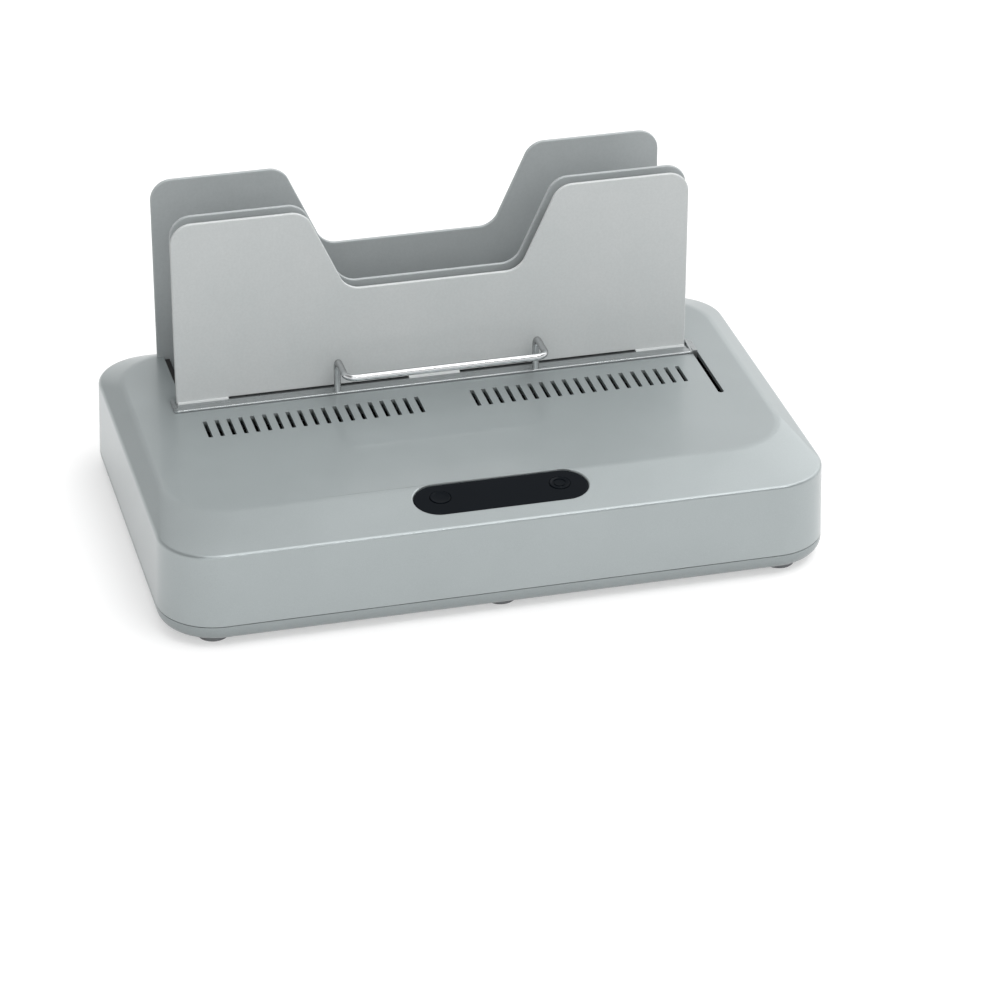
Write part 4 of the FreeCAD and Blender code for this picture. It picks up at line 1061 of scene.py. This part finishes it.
@dataclass
class BaseTray(Moulding):
    """The moulded tray: rounded lower edge, locating lip, posts, vents, seats."""

    bottom: float = 4.0
    rim: float = 13.6
    edge_round: float = 7.5
    lip_low: float = 10.6
    lip_top: float = 17.0
    lip_inset: float = 2.7
    lip_thickness: float = 1.4
    hollow_top: float = 40.0
    rim_round: float = 0.4
    rim_band: float = 0.6
    post_low: float = 5.0
    screw_post: Pair = (5.0, 15.0)
    # Radius and height of the posts for the heater frame and the power board, and where
    # they stand
    posts: tuple[tuple[Pair, Pair, Pair], ...] = (
        ((4.5, 7.0), (-127.7, 127.7), (69.8, 99.8)), ((3.5, 11.0), (96.0, 168.0), (-81.0, -44.0)),
    )
    pocket: Pair = (3.0, 16.0)
    vent: Corners = ((-1.5, 57.8, 0), (1.5, 91.8, 10))
    vent_round: float = 1.0
    vent_count: int = 12
    vent_pitch: float = 9.0
    foot_seat: Pair = (8.4, 5.0)
    foot_x: Triple = (-164, 0, 164)
    foot_y: Pair = (-108.5, 108.5)

    def ring(self, name: str, inset: float, low: float, high: float) -> Piece:
        """A closed upright form with the body's outline.

        Args:
            name: name of the piece.
            inset: how far it is drawn in.
            low: its lower face.
            high: its upper face.

        Returns:
            The form.
        """
        form = self.outline(name, inset, low)
        apply(form, "SOLIDIFY", thickness=(high - low) * MM, offset=1.0)
        turn_outward(form)
        return form

    def build(self, dresser: Dresser) -> None:
        """Makes the tray and dresses it.

        Args:
            dresser: puts the finish on it.
        """
        tray = self.ring("base_tray_moulding", 0.0, self.bottom, self.rim)
        round_edges(tray, self.edge_round, 8, lambda spot: spot.at(z=self.bottom) and spot.sharp)
        combine(tray, [self.ring("lip", self.lip_inset, self.lip_low, self.lip_top)], Trim.WELD)
        floor = self.bottom + self.wall
        inner = self.ring("hollow", self.lip_inset + self.lip_thickness, floor, self.hollow_top)
        round_edges(inner, self.edge_round - self.wall, 6, lambda spot: (
            spot.at(z=floor) and spot.sharp
        ))
        combine(tray, [inner], Trim.CUT)
        radius, height = self.screw_post
        posts = [drum("post", radius, (*place, self.post_low), height) for place in self.screws]
        for (radius, height), across, along in self.posts:
            posts += [
                drum("post", radius, (x, y, self.post_low), height) for x in across for y in along
            ]
        combine(tray, posts, Trim.WELD)
        combine(tray, self.cutters(), Trim.CUT)
        turn_outward(tray)
        round_edges(tray, self.rim_round, 2, lambda spot: (
            spot.at(z=self.rim) and spot.sharp and self.outside(spot)
        ))
        round_edges(tray, self.rim_round, 2, lambda spot: spot.at(z=self.bottom) and spot.sharp)
        smooth(tray)
        dresser.dress(tray, "tray_plastic", "base", "base_tray")

    def outside(self, spot: Spot) -> bool:
        """Whether a spot is on the tray's outer wall.

        Args:
            spot: the spot.

        Returns:
            Whether it is.
        """
        x = max(abs(spot.place.x) - (self.half_width - self.corner), 0)
        y = max(abs(spot.place.y) - (self.half_depth - self.corner), 0)
        return math.hypot(x, y) > self.corner - self.rim_band

    def cutters(self) -> list[Piece]:
        """Screw pockets, floor vents and foot seats.

        Returns:
            The cutters.
        """
        radius, height = self.pocket
        tools = [drum("pocket", radius, (*place, 0.0), height) for place in self.screws]
        vent = rounded_block("vent", *self.vent, self.vent_round, 3)
        middle = (self.vent_count - 1) / 2
        tools += copies(vent, [
            ((index - middle) * self.vent_pitch, 0.0, 0.0) for index in range(self.vent_count)
        ])
        bpy.data.objects.remove(vent)
        radius, height = self.foot_seat
        places = [(x, y, 0) for x in self.foot_x for y in self.foot_y]
        return tools + [drum("seat", radius, place, height, 48) for place in places]


@dataclass
class RubberFeet:
    """Six turned feet with their barbed stems."""

    radius: float = 8.8
    seat_radius: float = 8.2
    base_round: float = 0.6
    pad: float = 3.9
    height: float = 5.0
    stem_radius: float = 2.5
    stem: float = 1.6
    barb: float = 1.5
    barb_share: float = 1.28
    tip_share: float = 0.5
    dish_rim: float = 2.4
    dish_slope: float = 0.8
    dish: float = 0.6
    x: float = 164.0
    y: float = 108.5

    def build(self, dresser: Dresser) -> None:
        """Makes one foot, copies it to the other places and dresses all.

        Args:
            dresser: puts the finish on them.
        """
        first = drum("foot_front_left_turned", self.radius, (-self.x, -self.y, 0), self.pad, 48)
        barb_low = self.height + self.stem
        with at_bench(first):
            pick(first, Kind.FACES, lambda spot: spot.faces("z", 1))
            draw_in(self.radius - self.seat_radius)
            pull(0, 0, self.height - self.pad)
            draw_in(self.seat_radius - self.stem_radius)
            pull(0, 0, self.stem)
            draw_in(HAIR)
            swell(self.barb_share, (-self.x, -self.y, barb_low))
            pull(0, 0, self.barb)
            swell(self.tip_share, (-self.x, -self.y, barb_low + self.barb))
            pick(first, Kind.FACES, lambda spot: spot.faces("z", -1) and spot.at(z=0))
            draw_in(self.dish_rim)
            draw_in(self.dish_slope, -self.dish)
        round_edges(first, self.base_round, 3, lambda spot: spot.at(z=0) and near(
            math.hypot(spot.place.x + self.x, spot.place.y + self.y), self.radius, 0.5,
        ))
        smooth(first, 40.0)
        places = {
            f"foot_{row}_{side}": (x, y, 0.0)
            for row, y in (("front", 0.0), ("rear", 2 * self.y))
            for side, x in (("left", 0.0), ("centre", self.x), ("right", 2 * self.x))
        }
        nodes = list(places)
        names = [node + "_turned" for node in nodes[1:]]
        others = copies(first, list(places.values())[1:], names)
        for foot, node in zip([first] + others, nodes):
            dresser.dress(foot, "foot_rubber", "base", node)


@dataclass
class ScoopedPlate:
    """The upright sheet that all three support plates share."""

    half_width: float = 153.5
    top: float = 176.5
    thickness: float = 2.2
    corner: float = 12.5
    scoop_floor: float = 125.2
    scoop_half_floor: float = 51.5
    scoop_half_mouth: float = 75.0
    scoop_radius: float = 12.0
    edge_round: float = 0.8

    def sheet(self, name: str, front: float, low: float) -> Piece:
        """The sheet above a level, column by column, with rounded corners and scoop.

        Args:
            name: name of the piece.
            front: y of its front face.
            low: height of its lower edge.

        Returns:
            The closed sheet, with its rims rounded.
        """
        floor, mouth, above = self.scoop_half_floor, self.scoop_half_mouth, low + 1
        left_width = self.half_width - mouth
        centre = (-self.half_width + left_width / 2, front, (low + self.top) / 2)
        sheet = start(name, Stock.SHEET, centre, (left_width, self.top - low, 1.0), (90, 0, 0))
        drop = self.top - self.scoop_floor
        columns = (
            (-mouth, -floor, -drop), (-floor, floor, 0.0), (floor, mouth, drop),
            (mouth, self.half_width, 0.0),
        )
        with at_bench(sheet):
            for here, there, change in columns:
                pick(sheet, Kind.EDGES, lambda spot: spot.at(x=here) and spot.along("z"))
                pull(there - here, 0, 0)
                pick(sheet, Kind.POINTS, lambda spot: spot.at(x=there) and spot.place.z > above)
                shift(0, 0, change)
            pick(sheet, Kind.EDGES, lambda spot: spot.along("z") and self.by_scoop(spot))
            bpy.ops.mesh.dissolve_edges(use_verts=False)
        apply(sheet, "SOLIDIFY", thickness=self.thickness * MM, offset=-1.0)
        slope = math.atan2(drop, mouth - floor)
        round_edges(sheet, self.corner, 12, lambda spot: (
            spot.along("y") and near(abs(spot.place.x), self.half_width) and spot.place.z > above
        ))
        round_edges(sheet, self.scoop_radius * math.tan(slope / 2), 12, lambda spot: (
            spot.along("y") and spot.place.z > above and spot.sharp and self.by_scoop(spot)
        ))
        round_edges(sheet, self.edge_round, 4, lambda spot: (
            abs(spot.way.y) < 0.5 and spot.sharp and spot.place.z > above
        ))
        return sheet

    def by_scoop(self, spot: Spot) -> bool:
        """Whether a spot lies where the scoop bends."""
        reach = abs(spot.place.x)
        return near(reach, self.scoop_half_floor) or near(reach, self.scoop_half_mouth)


@dataclass
class WellPlates(ScoopedPlate):
    """The two fixed plates of the well, with shoulder, root and flange."""

    middle_front: float = 57.6
    rear_front: float = 109.8
    middle_drift: float = 1.6
    side_from: float = 100.0
    deck: float = 62.5
    root_half: float = 149.2
    root_low: float = 36.0
    flange: float = 9.0
    inner_bend: float = 2.0
    outer_bend: float = 2.1

    def build(self, dresser: Dresser) -> None:
        """Makes both plates and dresses them.

        Args:
            dresser: puts the finish on them.
        """
        for node, front, inward, drift in (
            ("middle_support_plate", self.middle_front, 1, self.middle_drift),
            ("rear_support_plate", self.rear_front, -1, 0.0),
        ):
            plate = self.fixed(node + "_pressed", front, inward, drift)
            # The fixed plates take the darker copy of the paint, painted shade behind the front
            # plate
            dresser.dress(plate, "plate_steel", "base", node, dresser.painted_shade_plate_paint)

    def fixed(self, name: str, front: float, inward: int, drift: float) -> Piece:
        """One fixed plate, bent inwards at its lower end.

        Args:
            name: name of the piece.
            front: y of its front face.
            inward: 1 where the well is behind it, -1 where it is before it.
            drift: how far its two side edges sit to the right.

        Returns:
            The plate.
        """
        plate = self.sheet(name, front, self.deck)
        inner = front + self.thickness if inward > 0 else front
        outer = front if inward > 0 else front + self.thickness
        flange_top = self.root_low + self.thickness
        with at_bench(plate):
            pick(plate, Kind.POINTS, lambda spot: abs(spot.place.x) > self.side_from)
            shift(drift, 0, 0)
            for side in (-1, 1):
                slice_at((side * self.root_half, 0, 0), (1, 0, 0))
            pick(plate, Kind.FACES, lambda spot: (
                spot.faces("z", -1) and abs(spot.place.x) < self.root_half
            ))
            pull(0, 0, self.root_low - self.deck)
            slice_at((0, 0, flange_top), (0, 0, 1))
            pick(plate, Kind.FACES, lambda spot: (
                spot.faces("y", inward) and spot.place.z < flange_top
            ))
            pull(0, inward * self.flange, 0)
        round_edges(plate, self.inner_bend, 4, lambda spot: (
            spot.along("x") and spot.at(y=inner, z=flange_top)
        ))
        round_edges(plate, self.outer_bend, 5, lambda spot: (
            spot.along("x") and spot.at(y=outer, z=self.root_low)
        ))
        turn_outward(plate)
        smooth(plate)
        return plate


@dataclass
class CoolingRack(ScoopedPlate):
    """The sliding plate, its foot flange, and the carriage under it."""

    front: float = 46.5
    notch_top: float = 64.5
    flange_low: float = 63.2
    flange_top: float = 63.8
    flange_front: float = 36.9
    flange_rear: float = 44.4
    flange_round: float = 0.6
    lip_low: float = 62.8
    lip_back: float = 38.4
    relief: float = 41.5
    bend: float = 2.0
    tab_inner: float = 15.25
    tab_outer: float = 123.0
    carriage_half: float = 156.4
    carriage_inner: float = 154.6
    carriage_rear: float = 50.7
    carriage_top: float = 65.2
    carriage_sheet: float = 0.35
    carriage_edge: float = 0.12
    tongue_outer: float = 158.6
    tongue_rear: float = 50.0
    tongue_low: float = 49.6
    tongue_top: float = 64.4
    lap: float = 0.5

    def build(self, dresser: Dresser) -> None:
        """Makes plate, flange and carriage and dresses them.

        Args:
            dresser: puts the finishes on them.
        """
        dresser.dress(self.plate(), "plate_steel", "rack", "front_support_plate")
        dresser.dress(self.flange(), "carriage_steel", "rack", "front_support_plate")
        dresser.dress(self.carriage(), "carriage_steel", "rack", "rack_carriage")

    def plate(self) -> Piece:
        """The sheet on three tabs, each bent forward into a short foot.

        Returns:
            The plate.
        """
        plate = self.sheet("front_support_plate_pressed", self.front, self.notch_top)
        with at_bench(plate):
            for x in (-self.tab_outer, -self.tab_inner, self.tab_inner, self.tab_outer):
                slice_at((x, 0, 0), (1, 0, 0))
            for high, low in (
                (self.notch_top, self.flange_top), (self.flange_top, self.flange_low),
            ):
                pick(plate, Kind.FACES, lambda spot: (
                    spot.faces("z", -1) and spot.at(z=high) and self.on_tab(spot)
                ))
                pull(0, 0, low - high)
            pick(plate, Kind.FACES, lambda spot: (
                spot.faces("y", -1) and spot.place.z < self.flange_top
            ))
            pull(0, self.flange_rear - self.front, 0)
        turn_outward(plate)
        round_edges(plate, self.bend, 5, lambda spot: (
            spot.along("x") and spot.at(y=self.front, z=self.flange_top)
        ))
        smooth(plate)
        return plate

    def on_tab(self, spot: Spot) -> bool:
        """Whether a spot is on one of the plate's three tabs."""
        return not self.tab_inner <= abs(spot.place.x) <= self.tab_outer

    def flange(self) -> Piece:
        """The flange from the tabs' feet to its turned-down front.

        It is wider before the relief cuts, as far as the carriage's upturned ends.

        Returns:
            The flange.
        """
        flange = block(
            "rack_flange_pressed", (-self.half_width, self.flange_front, self.flange_low),
            (self.half_width, self.flange_rear, self.flange_top),
        )
        with at_bench(flange):
            for y in (self.lip_back, self.relief):
                slice_at((0, y, 0), (0, 1, 0))
            pick(flange, Kind.FACES, lambda spot: (
                spot.faces("z", -1) and spot.place.y < self.lip_back
            ))
            pull(0, 0, self.lip_low - self.flange_low)
            for side in (-1, 1):
                pick(flange, Kind.FACES, lambda spot: (
                    spot.faces("x", side) and spot.place.y < self.relief
                ))
                pull(side * (self.carriage_inner - self.half_width), 0, 0)
        turn_outward(flange)
        round_edges(flange, self.flange_round, 4, lambda spot: (
            spot.along("x") and spot.at(y=self.flange_front, z=self.flange_top)
        ))
        smooth(flange)
        return flange

    def carriage(self) -> Piece:
        """The thin sheet, its upturned ends and the tongue through the slot.

        Returns:
            The carriage.
        """
        half, front, low = self.carriage_half, self.flange_front, self.lip_low
        sheet = block(
            "rack_carriage_pressed", (-half, front + self.lap, low),
            (half, self.carriage_rear, low + self.carriage_sheet),
        )
        added = []
        for low_x in (-half, self.carriage_inner):
            high_x = low_x + half - self.carriage_inner
            end = block(
                "end", (low_x, front, low), (high_x, self.carriage_rear, self.carriage_top),
            )
            with at_bench(end):
                pick(end, Kind.POINTS, lambda spot: spot.at(y=front, z=self.carriage_top))
                shift(0, 0, self.flange_top - self.carriage_top)
            added.append(end)
        added.append(block(
            "tongue", (half - self.lap, front, self.tongue_low),
            (self.tongue_outer, self.tongue_rear, self.tongue_top),
        ))
        combine(sheet, added, Trim.WELD, crossing=True)
        turn_outward(sheet)
        apply(
            sheet, "BEVEL", width=self.carriage_edge * MM, segments=2, limit_method="ANGLE",
            angle_limit=math.radians(40.0), use_clamp_overlap=True, loop_slide=False,
        )
        smooth(sheet)
        return sheet


@dataclass
class WireHandle:
    """One wire, pulled and bent from leg to leg."""

    wire: float = 4.0
    leg_x: float = 59.7
    leg_y: float = 39.3
    bar_y: float = 13.5
    foot: float = 63.6
    top: float = 84.5
    bend: float = 6.0
    bend_steps: int = 8
    facets: int = 24

    def turn(self, centre: Triple, axis: Triple, degrees: float) -> None:
        """Spins the open end of the wire round a bend."""
        bpy.ops.mesh.spin(
            steps=self.bend_steps, angle=math.radians(degrees), center=metres(*centre),
            axis=axis, dupli=False,
        )

    def build(self, dresser: Dresser) -> None:
        """Makes the handle and dresses it.

        Args:
            dresser: puts the finish on it.
        """
        wire = start(
            "wire_handle_bent", Stock.DISC, (-self.leg_x, self.leg_y, self.foot),
            (self.wire, self.wire, 1.0), points=self.facets,
        )
        inner_x, inner_y = self.leg_x - self.bend, self.leg_y - self.bend
        outer_y = self.bar_y + self.bend
        low = self.top - self.bend
        with at_bench(wire):
            pick(wire, Kind.FACES, every)
            pull(0, 0, low - self.foot)
            self.turn((-self.leg_x, inner_y, low), (1, 0, 0), -90)
            pull(0, outer_y - inner_y, 0)
            self.turn((-inner_x, outer_y, self.top), (0, 0, 1), -90)
            pull(2 * inner_x, 0, 0)
            self.turn((inner_x, outer_y, self.top), (0, 0, 1), -90)
            pull(0, inner_y - outer_y, 0)
            self.turn((self.leg_x, inner_y, low), (1, 0, 0), 90)
            pull(0, 0, self.foot - low)
        turn_outward(wire)
        smooth(wire, 50.0)
        dresser.dress(wire, "handle_wire", "rack", "wire_handle")


@dataclass
class ControlPanel:
    """The black lens and its two round buttons.

    A button's face is given as insets, each with its width and rise: the dish, a ring cut
    into one of the two, and the middle.
    """

    half_length: float = 50.0
    half_width: float = 14.2
    top: float = -0.8
    thickness: float = 2.5
    bevel: float = 0.7
    hole_round: float = 0.3
    hole_span: Pair = (-5.0, 2.0)
    hole_radius: float = 6.1
    button_x: float = 34.4
    button_y: float = 2.5
    button_radius: float = 5.8
    button_round: float = 0.25
    proud: float = 0.2
    cap_low: float = -3.7
    flange_reach: float = 1.1
    flange_height: float = 1.0
    stem_inset: float = 4.9
    stem: float = 4.8
    dish: tuple[Pair, ...] = ((0.5, 0.0), (0.6, -0.06), (0.9, -0.05))
    ring: tuple[Pair, ...] = ((0.1, 0.0), (0.08, -0.4), (0.5, 0.0), (0.08, 0.4))
    middle: tuple[Pair, ...] = ((0.9, -0.03), (0.8, -0.02))
    panel: PanelPlane = PanelPlane()

    def build(self, dresser: Dresser) -> None:
        """Makes lens and buttons and dresses them.

        Args:
            dresser: puts the finish on them.
        """
        dresser.dress(self.lens(), "lens_gloss", "base", "panel_lens")
        start_button = self.button("start_button", -self.button_x, self.dish + self.middle)
        dresser.dress(start_button, "lens_gloss", "start_key", "start_button")
        face = self.dish + self.ring + self.middle
        ready_button = self.button("ready_button", self.button_x, face)
        dresser.dress(ready_button, "lens_gloss", "ready_key", "ready_button")

    def lens(self) -> Piece:
        """The lens with its bevelled rim and two holes.

        Returns:
            The lens.
        """
        low = self.top - self.thickness
        lens = self.panel.bar(
            "panel_lens_moulding", self.half_length, self.half_width, low, self.top,
        )
        round_edges(lens, self.bevel, 3, lambda spot: self.panel.corner_at(spot, self.top))
        combine(lens, [
            self.panel.pin("hole", self.hole_radius, (x, self.button_y), *self.hole_span)
            for x in (-self.button_x, self.button_x)
        ], Trim.CUT)
        turn_outward(lens)
        round_edges(lens, self.hole_round, 3, lambda spot: self.panel.corner_at(spot, self.top))
        smooth(lens)
        return lens

    def button(self, node: str, x: float, face: Sequence[Pair]) -> Piece:
        """A dished cap on its flange and stem.

        Args:
            node: the CAD node it stands for.
            x: its place along the panel.
            face: the insets that shape its face.

        Returns:
            The button.
        """
        radius, place, out = self.button_radius, (x, self.button_y), self.panel.out
        high = self.top + self.proud
        cap = self.panel.pin(node + "_cap", radius, place, self.cap_low, high)
        with at_bench(cap):
            pick(cap, Kind.FACES, lambda spot: spot.way.dot(out) > FACING)
            for width, rise in face:
                draw_in(width, rise)
            pick(cap, Kind.FACES, lambda spot: spot.way.dot(out) < -FACING)
            draw_in(HAIR)
            share = (radius + self.flange_reach) / radius
            swell(share, self.panel.point(*place, self.cap_low))
            pull(*(out * -self.flange_height))
            draw_in(self.stem_inset)
            pull(*(out * -self.stem))
        turn_outward(cap)
        round_edges(cap, self.button_round, 3, lambda spot: self.panel.corner_at(spot, high))
        smooth(cap, 40.0)
        return cap


# ---- The studio, in metres ----

@dataclass
class Softbox:
    """A rectangular lamp that looks at the machine."""

    name: str
    place: Triple
    size: Pair
    power: float
    aim: Triple = (0, 0, 0.05)

    def hang(self) -> None:
        """Adds the lamp."""
        data = bpy.data.lights.new(self.name, "AREA")
        data.shape = "RECTANGLE"
        data.size, data.size_y = self.size
        data.energy = self.power
        lamp = bpy.data.objects.new(self.name, data)
        lamp.location = self.place
        way = Vector(self.aim) - Vector(self.place)
        lamp.rotation_euler = way.to_track_quat("-Z", "Y").to_euler()
        bpy.context.scene.collection.objects.link(lamp)


@dataclass
class Studio:
    """Pale floor, white surroundings, softboxes and the camera.

    The surroundings are given as spans of a way's X, Y or Z, and the brightness at each end.
    """

    floor_half: float = 20.0
    paper: str = "c8c8c8"
    paper_glow: float = 0.44
    white: str = "ffffff"
    overhead: tuple[Pair, Pair] = ((-0.3, 0.4), (0.28, 0.95))
    behind: Pair = (-0.4, 0.3)
    behind_dark: float = 0.05
    horizon: Pair = (0.12, 0.54)
    around: tuple[Pair, Pair] = ((-0.9, 0.1), (0.4, 0.88))
    camera_place: Triple = (-0.48996, -1.98410, 1.13540)
    azimuth: float = -14.29
    pitch: float = 29.01
    lens: float = 143.80
    sensor: float = 36.0
    sight: float = 200.0
    shift: Pair = (0.0209, 0.0028)
    boxes: tuple[Softbox, ...] = (
        Softbox("overhead_softbox", (0.5, -0.2, 2.4), (3.0, 2.2), 32.0),
        Softbox("front_softbox", (-0.5, -2.2, 1.3), (2.0, 1.2), 11.0),
        Softbox("strip_softbox", (0.65, -1.05, 1.9), (1.3, 0.25), 7.0),
        Softbox("right_softbox", (2.3, 1.3, 2.0), (3.2, 2.4), 21.0),
    )

    def build(self) -> None:
        """Sets the whole studio up."""
        self.lay_floor()
        self.light_world()
        for box in self.boxes:
            box.hang()
        self.place_camera()
        bpy.context.scene.view_settings.view_transform = "Standard"

    @staticmethod
    def seen(tree: Tree) -> Socket:
        """One for rays from the camera, from gloss or through glass, else zero.

        Args:
            tree: the node tree.

        Returns:
            The value.
        """
        rays = add(tree, "ShaderNodeLightPath", {}).outputs
        value = rays["Is Camera Ray"]
        for name in ("Is Glossy Ray", "Is Transmission Ray"):
            sockets = {0: value, 1: rays[name]}
            value = add(tree, "ShaderNodeMath", sockets, operation="MAXIMUM").outputs[0]
        return value

    def lay_floor(self) -> None:
        """A plain pale floor that stays white in the picture and keeps the shadow."""
        side = 2 * self.floor_half / MM
        floor = start("studio_floor", Stock.SHEET, (0, 0, 0), (side, side, 1))
        material = bpy.data.materials.new("matt_white_paper")
        tree = bare_tree(material)
        paper = add(tree, "ShaderNodeBsdfDiffuse", {"Color": linear(self.paper)})
        sockets = {0: self.seen(tree), 1: self.paper_glow}
        glow = add(tree, "ShaderNodeMath", sockets, operation="MULTIPLY").outputs[0]
        lit = add(tree, "ShaderNodeEmission", {"Color": linear(self.white), "Strength": glow})
        both = add(tree, "ShaderNodeAddShader", {0: paper.outputs[0], 1: lit.outputs[0]})
        add(tree, "ShaderNodeOutputMaterial", {"Surface": both.outputs[0]})
        floor.data.materials.append(material)

    def light_world(self) -> None:
        """White surroundings at the horizon, darker overhead and to the left for the gloss."""
        world = bpy.data.worlds.new("studio_surroundings")
        bpy.context.scene.world = world
        tree = bare_tree(world)
        way = add(tree, "ShaderNodeTexCoord", {}).outputs["Generated"]
        parts = add(tree, "ShaderNodeSeparateXYZ", {"Vector": way}).outputs
        overhead = ramp(tree, parts["X"], *self.overhead)
        behind = ramp(tree, parts["Y"], self.behind, (self.behind_dark, overhead))
        white = ramp(
            tree, parts["Z"], self.horizon, (1.0, behind), interpolation_type="SMOOTHSTEP",
        )
        around = ramp(tree, parts["X"], *self.around)
        strength = add(tree, "ShaderNodeMix", {
            "Factor": self.seen(tree), 2: around, 3: white,
        }).outputs[0]
        sockets = {"Color": linear(self.white), "Strength": strength}
        surroundings = add(tree, "ShaderNodeBackground", sockets)
        add(tree, "ShaderNodeOutputWorld", {"Surface": surroundings.outputs[0]})

    def place_camera(self) -> None:
        """The camera, at the photograph's place and lens."""
        data = bpy.data.cameras.new("camera")
        data.sensor_width = self.sensor
        data.lens = self.lens
        data.shift_x, data.shift_y = self.shift
        data.clip_end = self.sight
        camera = bpy.data.objects.new("camera", data)
        camera.location = self.camera_place
        camera.rotation_euler = (math.radians(90 - self.pitch), 0, math.radians(self.azimuth))
        bpy.context.scene.collection.objects.link(camera)
        bpy.context.scene.camera = camera


def main() -> None:
    """Builds every piece in order, then the studio."""
    logging.basicConfig(level=logging.INFO, format="%(name)s %(message)s")
    dresser = Dresser()
    for assembly in (
        BaseTray(), TopCover(), RubberFeet(), WellPlates(), CoolingRack(), WireHandle(),
        ControlPanel(),
    ):
        log.info("building %s", type(assembly).__name__)
        assembly.build(dresser)
    dresser.dress_nodes()
    Studio().build()


if __name__ == "__main__":
    main()
